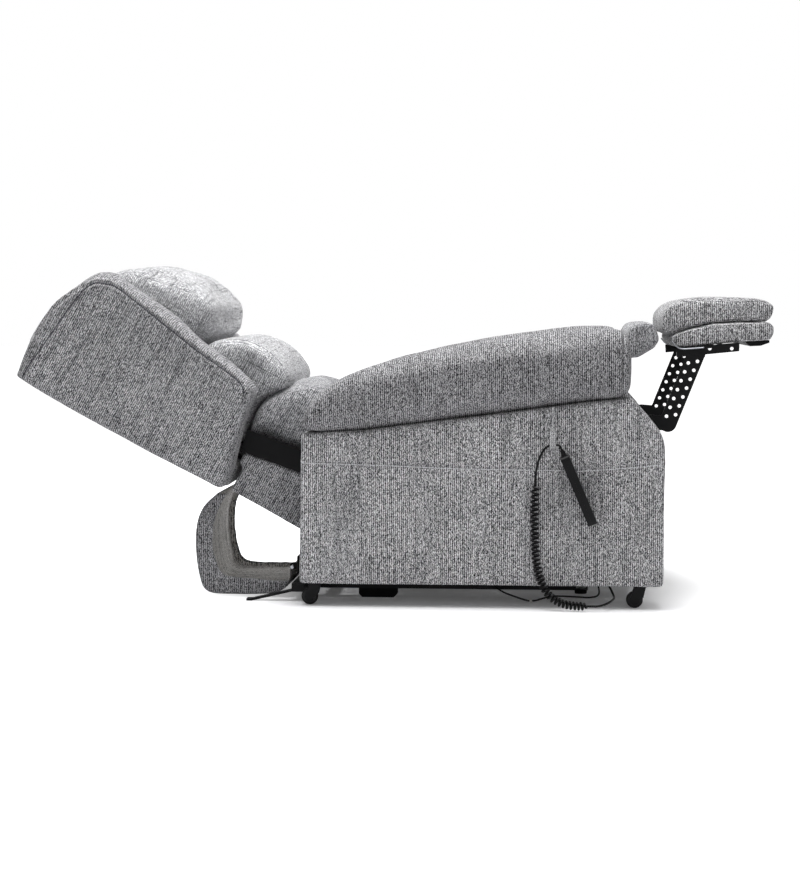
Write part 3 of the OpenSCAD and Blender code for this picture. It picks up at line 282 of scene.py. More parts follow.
@dataclass(frozen=True)
class Drawn:
    """Bright drawn steel, zinc plated: a cool grey metal with faint lines along its length."""

    name: str
    colour: str
    tarnish: str
    roughness: float
    stretch: Point3 = (30.0, 900.0, 900.0)

    def build(self) -> bpy.types.Material:
        """Makes the material."""
        material, tree, shader = blank_material(self.name)
        place = add_node(tree, "TexCoord").outputs["Object"]
        stretched = add_node(tree, "VectorMath", {"operation": "MULTIPLY", 1: self.stretch}, {0: place})
        lines = add_node(tree, "TexNoise", {"Scale": 1.0, "Detail": 3.0}, {"Vector": stretched.outputs[0]})
        colour = ramp(tree, lines.outputs[0], [(0.3, self.tarnish), (0.6, self.colour)])
        tree.links.new(colour, shader.inputs["Base Color"])
        bump = add_node(tree, "Bump", {"Strength": 0.3, "Distance": 0.03 * MM}, {"Height": lines.outputs[0]})
        tree.links.new(bump.outputs[0], shader.inputs["Normal"])
        shader.inputs["Metallic"].default_value = 1.0
        shader.inputs["Roughness"].default_value = self.roughness
        return material


# The outer cloth, then a paler copy of it with painted top light, for the pillow tops and the seat
SIDE_CLOTH = Tweed("chenille_tweed")
TOP_LIGHT_PAINTED_TWEED = Tweed("chenille_tweed_top_light_painted", dark="#606064", mid="#ababae", light="#f8f8f9", slub=0.42,
                  cross_slub=0.42, slub_share=0.40)
# The same cloth darkened with painted shade: most for the arm pads, the curtain's outside and the box at the
# back's foot, less for the wings; then a copy with less painted light than the tops, for the lower pillow and
# the front roll
PAD_SHADE_PAINTED_TWEED = Tweed("chenille_tweed_pad_shade_painted", dark="#151517", mid="#717073", light="#d4d4d6")
WING_SHADE_PAINTED_TWEED = Tweed("chenille_tweed_wing_shade_painted", dark="#161618", mid="#7c7b7e", light="#e6e6e8")
HALF_LIGHT_PAINTED_TWEED = Tweed("chenille_tweed_half_light_painted", dark="#39393d", mid="#8b8b8e", light="#dcdcde", slub=0.35,
                      cross_slub=0.2, slub_share=0.42)
# A copy of the cloth darkened with painted shade, for the welt that lies in a seam's crease
SEAM_SHADE_PAINTED_TWEED = Tweed("chenille_tweed_seam_shade_painted", dark="#141417", mid="#4a4a50", light="#8c8c92", slub=0.1)
# The cloth's woven back, bare of pile, on the curtain's inner face: pale in itself and made paler still as
# painted light, since that face lies in the chair's shade; with wider flecks
REVERSE_LIGHT_PAINTED_TWEED = Tweed("tweed_reverse_light_painted", dark="#6f6c68", mid="#e6e2dd", light="#fffefb", fleck_mm=(3.2, 5.2),
                slub=0.45, relief_mm=0.9)
# Bonded nylon thread and woven polyester tape: paler and smoother than the tweed beside them
THREAD = Coated("nylon_thread", "#dadade", "#f0f0f2", 0.6, grain_mm=0.8)
TAPE = Tweed("strap_tape", dark="#58585c", mid="#b0b0b3", light="#f6f6f6", rib_mm=4.4,
             fleck_mm=(1.8, 2.2), slub=0.1, relief_mm=0.4)
# Powder-coated mild steel: satin black with the slight orange peel that the coat cures to
POWDER_COAT = Coated("powder_coated_steel", "#08080a", "#121214", 0.40, grain_mm=1.6, relief_mm=0.08,
                     specular=0.22)
# Drawn steel under zinc: cool and bright on pins and rods, greyer on the oiled wire of the springs
BRIGHT_STEEL = Drawn("zinc_plated_steel", "#c3c6cb", "#8f9298", 0.28)
SPRING_STEEL = Drawn("spring_wire", "#8d8f94", "#5c5e62", 0.38)
# Glass-filled nylon, moulded: dull black with a coarse grain
MOTOR_NYLON = Coated("glass_filled_nylon", "#0e0e10", "#1a1a1d", 0.55, grain_mm=1.0, relief_mm=0.1,
                     specular=0.25)
# ABS, moulded in a spark-eroded tool: near black with a fine even grain and a soft gloss
HANDSET_ABS = Coated("black_abs", "#070709", "#0f0f12", 0.36, grain_mm=0.7, relief_mm=0.05, specular=0.28)
# Moulded silicone, rubber and nylon: matt grey keys, dull soles and bumper, smooth treads
BUTTON_RUBBER = Coated("silicone_buttons", "#4a4b50", "#62636a", 0.6, grain_mm=0.8)
FOOT_RUBBER = Coated("black_rubber", "#0c0c0d", "#1b1b1c", 0.75, grain_mm=1.4, relief_mm=0.15, specular=0.2)
WHEEL_NYLON = Coated("castor_nylon", "#09090a", "#151517", 0.34, grain_mm=1.2, relief_mm=0.04, specular=0.3)
# Plasticised PVC, extruded: black with a waxy sheen
CORD_PVC = Coated("pvc_sheath", "#060607", "#0e0e10", 0.38, grain_mm=1.5, relief_mm=0.03, specular=0.28)
# Natural nylon, moulded: off-white and waxy
TIE_NYLON = Coated("nylon_tie", "#d9d8d2", "#eceae4", 0.5)


class Finishes:
    """Makes each finish's material once and hands it out by its finish."""

    def __init__(self) -> None:
        """Starts with none made."""
        self._made: dict[str, bpy.types.Material] = {}

    def of(self, finish: Tweed | Coated | Drawn) -> bpy.types.Material:
        """The finish's material, made the first time that it is asked for."""
        if finish.name not in self._made:
            self._made[finish.name] = finish.build()
        return self._made[finish.name]


FINISHES = Finishes()


# ---------------------------------------------------------------- planes, curves and meshes
@dataclass(frozen=True)
class SidePlane:
    """A plane along the chair: s runs along it and n stands out from it, both in the XZ plane."""

    corner: Point2 = (0.0, 0.0)
    along: Point2 = (1.0, 0.0)
    out: Point2 = (0.0, 1.0)

    def at(self, s: float, n: float, y: float) -> Point3:
        """The point at s, n and y in the row frame."""
        return (self.corner[0] + s * self.along[0] + n * self.out[0], y,
                self.corner[1] + s * self.along[1] + n * self.out[1])

    def flat(self, s: float, n: float) -> Point2:
        """The point at s and n as X and Z."""
        x, _, z = self.at(s, n, 0.0)
        return (x, z)

    def limit(self, level: float, way: int) -> Limit:
        """The plane at that n, to stay below with way 1 or above with way -1."""
        out = np.array([self.out[0], 0, self.out[1]])
        corner = np.array([self.corner[0], 0, self.corner[1]])
        return tuple(way * out), way * (float(corner @ out) + level)


def between(half: float) -> list[Limit]:
    """Limits that keep a piece within that distance of the chair's middle plane."""
    return [((0, 1, 0), half), ((0, -1, 0), half)]


BACK_ANGLE = math.radians(28.9)
SEAT_ANGLE = math.radians(18.0)
LEVEL = SidePlane()
BACK = SidePlane((-401.0, 257.7), (-math.cos(BACK_ANGLE), math.sin(BACK_ANGLE)),
                 (math.sin(BACK_ANGLE), math.cos(BACK_ANGLE)))
SEAT = SidePlane((20.0, 372.5), (math.cos(SEAT_ANGLE), math.sin(SEAT_ANGLE)),
                 (-math.sin(SEAT_ANGLE), math.cos(SEAT_ANGLE)))

# Layers across the chair, from its middle plane
SEAT_HALF = 241.0
ARM_IN, ARM_OUT, PAD_OUT = 263.0, 390.0, 412.0
WING_IN, WING_OUT = 243.3, 344.3
CURTAIN_HALF = 252.0


class Side(Enum):
    """The two sides of the chair, as the sign of Y."""

    RIGHT = -1
    LEFT = 1


class SideRibs(Enum):
    """Which way the ribs run on a piece's side faces."""

    ALONG = "along the piece"
    UPRIGHT = "through its thickness"


@dataclass(frozen=True)
class Grain:
    """How cloth lies on a piece: across the ribs, along them, and out of the main faces."""

    across: Point3
    along: Point3
    out: Point3
    sides: SideRibs = SideRibs.ALONG


GRAIN_ARM = Grain((1, 0, 0), (0, 0, 1), (0, 1, 0))
GRAIN_WING = Grain((BACK.along[0], 0, BACK.along[1]), (BACK.out[0], 0, BACK.out[1]), (0, 1, 0))
GRAIN_PANEL = Grain((0, 1, 0), (BACK.along[0], 0, BACK.along[1]), (BACK.out[0], 0, BACK.out[1]))
GRAIN_PILLOW = Grain(GRAIN_PANEL.across, GRAIN_PANEL.along, GRAIN_PANEL.out, SideRibs.UPRIGHT)
GRAIN_SEAT = Grain((0, 1, 0), (SEAT.along[0], 0, SEAT.along[1]), (SEAT.out[0], 0, SEAT.out[1]),
                   SideRibs.UPRIGHT)
GRAIN_LEG = Grain((0, 1, 0), (1, 0, 0), (0, 0, 1), SideRibs.UPRIGHT)
GRAIN_CURTAIN = Grain((0, 1, 0), (0, 0, 1), (1, 0, 0))


def smooth_line(points: Sequence[Sequence[float]], steps: int, closed: bool = False) -> np.ndarray:
    """Runs a Catmull-Rom curve through points.

    Args:
        points: the points, of two or three numbers each.
        steps: how many steps lie between each two.
        closed: whether the curve comes back to its start.

    Returns:
        The curve's points as rows.
    """
    p = np.array(points, float)
    m = len(p)
    rows = []
    for i in range(m if closed else m - 1):
        near = [(i + k) % m if closed else min(max(i + k, 0), m - 1) for k in (-1, 0, 1, 2)]
        a, b, c, d = (p[j] for j in near)
        for k in range(steps):
            t = k / steps
            rows.append(0.5 * (2 * b + (c - a) * t + (2 * a - 5 * b + 4 * c - d) * t * t
                               + (3 * b - a - 3 * c + d) * t ** 3))
    if not closed:
        rows.append(p[-1])
    return np.array(rows)


def drawn_in(outline: np.ndarray, by: float) -> np.ndarray:
    """The outline shrunk about its middle by a distance along each axis.

    Args:
        outline: points as rows of two numbers.
        by: the distance.

    Returns:
        The shrunken outline.
    """
    low, high = outline.min(axis=0), outline.max(axis=0)
    middle, half = (low + high) / 2, (high - low) / 2
    return middle + (outline - middle) * (1 - by / half)


def new_piece(name: str, points: Iterable[Sequence[float]], faces: Iterable[Sequence[int]],
              material: bpy.types.Material | None = None, smooth: bool = True) -> bpy.types.Object:
    """Makes a mesh object from points in millimetres.

    Args:
        name: the piece's name.
        points: its points.
        faces: its faces, as point numbers.
        material: its material, if it has one yet.
        smooth: whether it is shaded smooth.

    Returns:
        The new object.
    """
    mesh = bpy.data.meshes.new(name)
    mesh.from_pydata([tuple(float(c) * MM for c in p) for p in points], [], [tuple(f) for f in faces])
    mesh.update()
    body = bmesh.new()
    body.from_mesh(mesh)
    bmesh.ops.recalc_face_normals(body, faces=body.faces)
    body.to_mesh(mesh)
    body.free()
    mesh.shade_smooth() if smooth else mesh.shade_flat()
    if material:
        mesh.materials.append(material)
    obj = bpy.data.objects.new(name, mesh)
    bpy.context.scene.collection.objects.link(obj)
    return obj


def ring_faces(rings: int, sides: int) -> list[tuple[int, ...]]:
    """Faces over a row of rings, with one face to close each end.

    Args:
        rings: how many rings there are.
        sides: how many points each has.

    Returns:
        The faces, as point numbers.
    """
    faces = []
    for j in range(rings - 1):
        for i in range(sides):
            n = (i + 1) % sides
            faces.append((j * sides + i, j * sides + n, (j + 1) * sides + n, (j + 1) * sides + i))
    faces.append(tuple(range(sides)))
    faces.append(tuple((rings - 1) * sides + i for i in reversed(range(sides))))
    return faces


def tube_rings(path: np.ndarray, radius: float | np.ndarray, sides: int) -> np.ndarray:
    """Rings of a round tube along a path, each turned only as the path bends.

    Args:
        path: the centreline, as rows.
        radius: the radius, one number or one for each point.
        sides: points in a ring.

    Returns:
        The rings' points, as rows.
    """
    m = len(path)
    tangent = np.vstack([path[1:], path[-1:]]) - np.vstack([path[:1], path[:-1]])
    tangent /= np.linalg.norm(tangent, axis=1)[:, None]
    ref = np.eye(3)[int(np.argmin(np.abs(tangent[0])))]
    u = np.cross(tangent[0], ref)
    u /= np.linalg.norm(u)
    radii = np.broadcast_to(np.asarray(radius, float), (m,))
    angles = np.arange(sides) * FULL_TURN / sides
    rows = []
    for i in range(m):
        u = u - (u @ tangent[i]) * tangent[i]
        u /= np.linalg.norm(u)
        v = np.cross(tangent[i], u)
        rows.append(path[i] + radii[i] * (np.outer(np.cos(angles), u) + np.outer(np.sin(angles), v)))
    return np.vstack(rows)


def tube(name: str, path: np.ndarray, radius: float | np.ndarray, sides: int,
         material: bpy.types.Material) -> bpy.types.Object:
    """Makes a round tube along a path.

    Args:
        name: the piece's name.
        path: the centreline in millimetres.
        radius: its radius or radii.
        sides: points in a ring.
        material: its material.

    Returns:
        The new object.
    """
    return new_piece(name, tube_rings(path, radius, sides), ring_faces(len(path), sides), material)


def read_points(obj: bpy.types.Object) -> np.ndarray:
    """The object's points as rows, in metres."""
    rows = np.empty(len(obj.data.vertices) * 3)
    obj.data.vertices.foreach_get("co", rows)
    return rows.reshape(-1, 3)


def write_points(obj: bpy.types.Object, rows: np.ndarray) -> None:
    """Puts the rows back as the object's points, in metres."""
    obj.data.vertices.foreach_set("co", rows.astype(np.float32).ravel())
    obj.data.update()


def point_normals(obj: bpy.types.Object) -> np.ndarray:
    """The object's point normals as rows."""
    rows = np.empty(len(obj.data.vertices) * 3)
    obj.data.vertices.foreach_get("normal", rows)
    return rows.reshape(-1, 3)


def apply_modifiers(obj: bpy.types.Object) -> None:
    """Gives the object the mesh that its modifiers make, and takes them off."""
    made = bpy.data.meshes.new_from_object(obj.evaluated_get(bpy.context.evaluated_depsgraph_get()))
    obj.modifiers.clear()
    old = obj.data
    obj.data = made
    bpy.data.meshes.remove(old)


def remesh(obj: bpy.types.Object, voxel: float) -> None:
    """Remeshes the object evenly.

    Args:
        obj: the object.
        voxel: the size of a face, in millimetres.
    """
    made = obj.modifiers.new("Even", "REMESH")
    made.mode = "VOXEL"
    made.voxel_size = voxel * MM
    made.use_smooth_shade = True
    apply_modifiers(obj)


def relax(obj: bpy.types.Object, passes: int, factor: float = 0.5) -> None:
    """Rounds the object's edges by smoothing.

    Args:
        obj: the object.
        passes: how many times.
        factor: how far each pass goes.
    """
    made = obj.modifiers.new("Relax", "SMOOTH")
    made.factor, made.iterations = factor, passes
    apply_modifiers(obj)


def subdivide(obj: bpy.types.Object) -> None:
    """Subdivides the object's faces once, smoothly."""
    made = obj.modifiers.new("Fine", "SUBSURF")
    made.levels = made.render_levels = 1
    apply_modifiers(obj)


def swell(obj: bpy.types.Object, cap: float, pressure: float = 4.0, frames: int = 20) -> None:
    """Blows the cloth of a stuffed piece out from inside, and caps how far each point goes.

    Args:
        obj: the object, evenly meshed.
        cap: the most that a point moves, in millimetres.
        pressure: the stuffing's pressure.
        frames: how long it is left to settle.
    """
    start = read_points(obj)
    cloth = obj.modifiers.new("Cloth", "CLOTH")
    cloth.settings.quality = 4
    cloth.settings.use_pressure = True
    cloth.settings.uniform_pressure_force = pressure
    cloth.settings.effector_weights.gravity = 0.0
    cloth.point_cache.frame_start, cloth.point_cache.frame_end = 1, frames
    for number in range(1, frames + 1):
        bpy.context.scene.frame_set(number)
    apply_modifiers(obj)
    bpy.context.scene.frame_set(1)
    moved = read_points(obj) - start
    length = np.linalg.norm(moved, axis=1)
    share = np.minimum(1.0, cap * MM / np.maximum(length, 1e-9))
    write_points(obj, start + moved * share[:, None])


def confine(obj: bpy.types.Object, limits: Sequence[Limit], ease: float = 4.0) -> None:
    """Presses the object flat against planes that it may not cross.

    Args:
        obj: the object.
        limits: the planes; the object stays below each.
        ease: how far from the plane the pressing starts.
    """
    rows = read_points(obj)
    for normal, offset in limits:
        n = np.array(normal, float)
        over = (rows @ n) / MM - (offset - ease)
        pressed = np.where(over > 0, ease * (1 - np.exp(-np.maximum(over, 0) / ease)), over)
        rows -= np.outer((over - pressed) * MM, n)
    write_points(obj, rows)


def rest_on(obj: bpy.types.Object, top: Sequence[Point2], ahead: Point2 = (-math.inf, math.inf),
            half: float = math.inf) -> None:
    """Presses a piece's underside flat on what it lies on.

    Args:
        obj: the piece.
        top: the surface below it, as X and Z.
        ahead: the first and the last X at which it lies there.
        half: how far it lies there to either side of the chair's middle plane.
    """
    rows, line = read_points(obj) / MM, np.array(top, float)
    floor = np.interp(rows[:, 0], line[:, 0], line[:, 1])
    over = (rows[:, 0] > ahead[0]) & (rows[:, 0] < ahead[1]) & (np.abs(rows[:, 1]) < half)
    rows[:, 2] = np.where(over, np.maximum(rows[:, 2], floor), rows[:, 2])
    write_points(obj, rows * MM)


def ruffle(obj: bpy.types.Object, height: float, size: float, seed: float) -> None:
    """Moves the surface in and out by smooth noise, as stuffing does under cloth.

    Args:
        obj: the object.
        height: how far it moves either way, in millimetres.
        size: the size of the swells, in millimetres.
        seed: shifts the noise, so that pieces differ.
    """
    rows, normals = read_points(obj), point_normals(obj)
    scaled = rows / (size * MM) + seed
    value = np.array([noise.noise(Vector(p)) for p in scaled])
    write_points(obj, rows + normals * (value * height * MM)[:, None])


CREASE_STEP = 2.0      # between the points of a line that is creased, in millimetres


def crease(obj: bpy.types.Object, line: np.ndarray, width: float, depth: float, lip: float = 0.0) -> None:
    """Draws the surface in along a line, as a seam or a fold does.

    Args:
        obj: the object.
        line: points close together along the seam, in millimetres.
        width: the width at which the drawing-in fades, to either side.
        depth: how deep it is; below zero it is a ridge.
        lip: how far the cloth stands up beside it.
    """
    tree = kdtree.KDTree(len(line))
    for i, p in enumerate(line):
        tree.insert(Vector([float(c) * MM for c in p]), i)
    tree.balance()
    rows, normals = read_points(obj), point_normals(obj)
    low, high = line.min(axis=0) * MM - 3 * width * MM, line.max(axis=0) * MM + 3 * width * MM
    near = np.nonzero(((rows > low) & (rows < high)).all(axis=1))[0]
    for i in near:
        reach = tree.find(Vector(rows[i]))[2] / MM
        if reach < 3 * width:
            share = math.exp(-(reach / width) ** 2)
            beside = math.exp(-((reach - 1.7 * width) / (0.7 * width)) ** 2)
            rows[i] -= normals[i] * (depth * share - lip * beside) * MM
    write_points(obj, rows)


def slice_line(obj: bpy.types.Object, point: Point3, normal: Point3, spacing: float = 4.0) -> np.ndarray:
    """Where a plane cuts the object's surface: its longest closed line.

    Args:
        obj: the object.
        point: a point on the plane, in millimetres.
        normal: the plane's normal.
        spacing: the distance between the line's points.

    Returns:
        The line's points as rows, in millimetres.
    """
    body = bmesh.new()
    body.from_mesh(obj.data)
    cut = bmesh.ops.bisect_plane(body, geom=[*body.verts, *body.edges, *body.faces],
                                 plane_co=Vector(point) * MM, plane_no=Vector(normal))
    edges = [e for e in cut["geom_cut"] if isinstance(e, bmesh.types.BMEdge)]
    links: dict[bmesh.types.BMVert, list[bmesh.types.BMVert]] = {}
    for edge in edges:
        a, b = edge.verts
        links.setdefault(a, []).append(b)
        links.setdefault(b, []).append(a)
    longest: list[tuple[float, ...]] = []
    seen: set[bmesh.types.BMVert] = set()
    for start in links:
        chain, here = [], start
        while here is not None and here not in seen:
            seen.add(here)
            chain.append(tuple(here.co))
            here = next((v for v in links[here] if v not in seen), None)
        if len(chain) > len(longest):
            longest = chain
    body.free()
    return even_line(np.array(longest) / MM, spacing, closed=True)


def run_along(line: np.ndarray) -> np.ndarray:
    """The distance along a line to each of its points."""
    return np.concatenate([[0], np.cumsum(np.linalg.norm(np.diff(line, axis=0), axis=1))])


def even_line(line: np.ndarray, spacing: float, closed: bool = False) -> np.ndarray:
    """A line with its points set out evenly.

    Args:
        line: the line's points.
        spacing: the distance wanted between them.
        closed: whether it comes back to its start.

    Returns:
        The new points.
    """
    rows = np.vstack([line, line[:1]]) if closed else line
    run = run_along(rows)
    count = max(4, int(round(run[-1] / spacing)))
    places = np.linspace(0, run[-1], count + 1)[: count if closed else count + 1]
    return np.stack([np.interp(places, run, rows[:, k]) for k in range(rows.shape[1])], axis=1)


DROP_HEIGHT = 150.0    # how far above a piece a line starts to drop, in millimetres


def dropped(obj: bpy.types.Object, line: np.ndarray, way: Point3) -> np.ndarray:
    """Drops a line onto the object, so that a welt along it lies on the cloth everywhere.

    Args:
        obj: the object.
        line: the line's points, in millimetres.
        way: the direction in which they drop; a point that misses the object is left out.

    Returns:
        The points where they land.
    """
    mesh = obj.data
    surface = BVHTree.FromPolygons([v.co for v in mesh.vertices], [p.vertices for p in mesh.polygons])
    above = Vector(way) * -DROP_HEIGHT * MM
    landed = [surface.ray_cast(Vector(p) * MM + above, Vector(way))[0] for p in line]
    return np.array([tuple(place / MM) for place in landed if place is not None])


def lay_weave(obj: bpy.types.Object, grain: Grain) -> None:
    """Stores where each face lies in its cloth, so that ribs run the right way and follow the piece.

    Args:
        obj: the object.
        grain: how the cloth lies on it.
    """
    mesh = obj.data
    axes = np.array([grain.across, grain.along, grain.out], float)
    faces = len(mesh.polygons)
    normals, totals = np.empty(faces * 3), np.empty(faces, int)
    mesh.polygons.foreach_get("normal", normals)
    mesh.polygons.foreach_get("loop_total", totals)
    facing = np.abs(normals.reshape(-1, 3) @ axes.T)
    main = np.repeat(np.argmax(facing * np.array([1.0, 1.0, 1.15]), axis=1), totals)
    corners = np.empty(len(mesh.loops), int)
    mesh.loops.foreach_get("vertex_index", corners)
    local = (read_points(obj) @ axes.T)[corners]
    a, b, c = local.T
    side = (c, b, a) if grain.sides is SideRibs.ALONG else (b, c, a)
    end = (a, c, b)
    made = np.where((main == 2)[:, None], local,
                    np.where((main == 0)[:, None], np.stack(side, axis=1), np.stack(end, axis=1)))
    layer = mesh.attributes.get(WEAVE) or mesh.attributes.new(WEAVE, "FLOAT_VECTOR", "CORNER")
    layer.data.foreach_set("vector", made.astype(np.float32).ravel())


def finish_piece(obj: bpy.types.Object, body: str,
                 replaced: Sequence[str] = ()) -> bpy.types.Object:
    """Lets a piece ride on its body and hides the CAD nodes that it stands for.

    Args:
        obj: the piece.
        body: the body that it rides on.
        replaced: the CAD nodes that it stands for.

    Returns:
        The piece.
    """
    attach(obj, body)
    if replaced:
        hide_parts(*replaced)
    log.info("%s: %d points, on %s", obj.name, len(obj.data.vertices), body)
    return obj


# ---------------------------------------------------------------- upholstery
@dataclass(frozen=True)
class Stuffing:
    """How a piece is stuffed, in millimetres."""

    edge: float            # length over which an end rounds off
    pull: float            # how far the ends are drawn in
    crown: float = 0.0     # how much fuller the middle is
    voxel: float = 6.0
    slim: float = 4.0      # how much smaller it starts before it swells
    cap: float = 9.0
    soften: int = 4


@dataclass
class Cushion:
    """One stuffed piece: a side outline carried across the chair, blown up and seamed."""

    name: str
    body: str
    slot: str
    node: str
    outline: Sequence[Point2]
    half: float
    stuffing: Stuffing
    grain: Grain
    cloth: Tweed
    plane: SidePlane = LEVEL
    limits: Sequence[Limit] = ()
    fill: float = 0.7
    seed: float = 0.0
    swells: float = 1.6

    # Where the rings of a rounded end lie, as shares of its length, and the middle's, of the half width
    END_RINGS: ClassVar[Sequence[float]] = (0.0, 0.03, 0.08, 0.16, 0.28, 0.44, 0.66, 1.0)
    MIDDLE_RINGS: ClassVar[Sequence[float]] = (0.5, 0.75, 1.0)
    # Broad swells and the finer ones over them: their sizes, and the finer ones' height as a share and seed
    SWELL_MM: ClassVar[float] = 95
    FINE_MM: ClassVar[float] = 34
    FINE_SHARE: ClassVar[float] = 0.35
    FINE_SEED: ClassVar[float] = 7.3

    def rings(self) -> tuple[np.ndarray, int, int]:
        """The points of the piece before it is blown up, how many rings they make and the points in each."""
        s = self.stuffing
        flat = smooth_line([self.plane.flat(*p) for p in self.outline], 8, closed=True)
        ends = [(t * s.edge, s.pull * (1 - math.sqrt(1 - (1 - t) ** 2)) + s.slim) for t in self.END_RINGS]
        middle = [(self.half * k, s.slim - s.crown * math.sin(QUARTER_TURN * k)) for k in self.MIDDLE_RINGS]
        half = self.half - s.slim
        near = [(-half + y, d) for y, d in ends] + [(-self.half + y, d) for y, d in middle if y > s.edge]
        rows = near + [(-y, d) for y, d in reversed(near) if y < 0]
        points = np.vstack([[(q[0], y, q[1]) for q in drawn_in(flat, d)] for y, d in rows])
        return points, len(rows), len(flat)

    def build(self) -> bpy.types.Object:
        """Makes the piece without its seams."""
        points, count, sides = self.rings()
        obj = new_piece(self.name, points, ring_faces(count, sides), FINISHES.of(self.cloth))
        s = self.stuffing
        remesh(obj, s.voxel)
        relax(obj, s.soften)
        swell(obj, s.cap)
        confine(obj, self.limits)
        subdivide(obj)
        ruffle(obj, self.swells, self.SWELL_MM, self.seed)
        ruffle(obj, self.swells * self.FINE_SHARE, self.FINE_MM, self.seed + self.FINE_SEED)
        return obj

    def close(self, obj: bpy.types.Object) -> bpy.types.Object:
        confine(obj, self.limits, 1.0)
        lay_weave(obj, self.grain)
        return finish_piece(obj, self.body, [self.node])


def welt(name: str, line: np.ndarray, radius: float, body: str, cloth: Tweed) -> bpy.types.Object:
    """A welt along a seam.

    Args:
        name: the piece's name.
        line: the seam, in millimetres.
        radius: the welt's radius.
        body: the body that it rides on.
        cloth: its cloth.

    Returns:
        The welt.
    """
    obj = tube(name, line, radius, 8, FINISHES.of(cloth))
    lay_weave(obj, GRAIN_ARM)
    return finish_piece(obj, body)


# A stitch's thread: where its rings lie along it, from its middle, and how thick it is there
STITCH_RINGS = (-0.5, -0.36, 0.0, 0.36, 0.5)
STITCH_THICK = (0.35, 0.85, 1.0, 0.85, 0.35)


def stitches(name: str, line: np.ndarray, pitch: float, length: float, radius: float,
             body: str) -> bpy.types.Object:
    """A row of stitches along a line.

    Args:
        name: the piece's name.
        line: where they lie, in millimetres.
        pitch: from one to the next.
        length: the length that shows of each.
        radius: the thread's radius.
        body: the body that it rides on.

    Returns:
        The row of stitches, as one piece.
    """
    places = even_line(line, pitch)
    points, faces, sides = [], [], 6
    for a, b in zip(places[:-1], places[1:]):
        middle, way = (a + b) / 2, (b - a) / np.linalg.norm(b - a)
        path = np.array([middle + way * length * k for k in STITCH_RINGS])
        rings = tube_rings(path, radius * np.array(STITCH_THICK), sides)
        faces += [tuple(len(points) + i for i in f) for f in ring_faces(len(path), sides)]
        points += list(rings)
    obj = new_piece(name, points, faces, FINISHES.of(THREAD))
    return finish_piece(obj, body)


@dataclass
class BackPillows:
    """The three pillows of the back: for the head, the lumbar and one that fills down to the seat."""

    half: float = 242.7
    rear: float = 74.0     # rear face of the pillows, out from the back's rear plane
    fold_in: float = 26.0  # from the lumbar pillow's end to the fold of its gusset
    head: Sequence[Point2] = (
        (236, 74), (230, 130), (234, 200), (226, 270), (212, 330), (222, 366), (262, 379), (322, 379),
        (400, 364), (450, 342), (484, 306), (512, 240), (522, 150), (512, 74), (370, 74))
    lumbar: Sequence[Point2] = (
        (44, 74), (38, 130), (42, 200), (24, 238), (-14, 285), (0, 314), (52, 331), (110, 332), (160, 314),
        (194, 284), (207, 240), (206, 150), (212, 74), (130, 74))
    lower: Sequence[Point2] = (
        (10, 124), (22, 124), (25, 150), (27.4, 205), (5.4, 252), (-38.6, 298), (-72, 314), (-100, 324),
        (-132, 320), (-156, 296), (-160, 240), (-152, 196), (-130, 168), (-90, 154), (-50, 146), (-10, 138))

    def build(self) -> None:
        """Makes the pillows; the lumbar one shows the fold of its gusset near both ends."""
        stuffing = Stuffing(edge=64, pull=19, crown=4, voxel=6.5, slim=4, cap=12, soften=4)
        limits = [*between(self.half), BACK.limit(self.rear, -1)]
        # The head and lumbar pillows take the tweed copy with painted top light, the lower one the copy with
        # less of it
        for name, outline, cloth, seed in (("head", self.head, TOP_LIGHT_PAINTED_TWEED, 1.0),
                                           ("lumbar", self.lumbar, TOP_LIGHT_PAINTED_TWEED, 4.0),
                                           ("lower", self.lower, HALF_LIGHT_PAINTED_TWEED, 9.0)):
            cushion = Cushion(f"{name}_pillow_cover", "back", "fabric_top", f"{name}_pillow", outline,
                              self.half, stuffing, GRAIN_PILLOW, cloth, BACK, limits, fill=0.75, seed=seed,
                              swells=2.2)
            obj = cushion.build()
            if name == "lumbar":
                for side in Side:
                    line = slice_line(obj, (0, side.value * (self.half - self.fold_in), 0), (0, 1, 0))
                    crease(obj, even_line(line, CREASE_STEP, True), 5.0, 2.2, 1.4)
            cushion.close(obj)


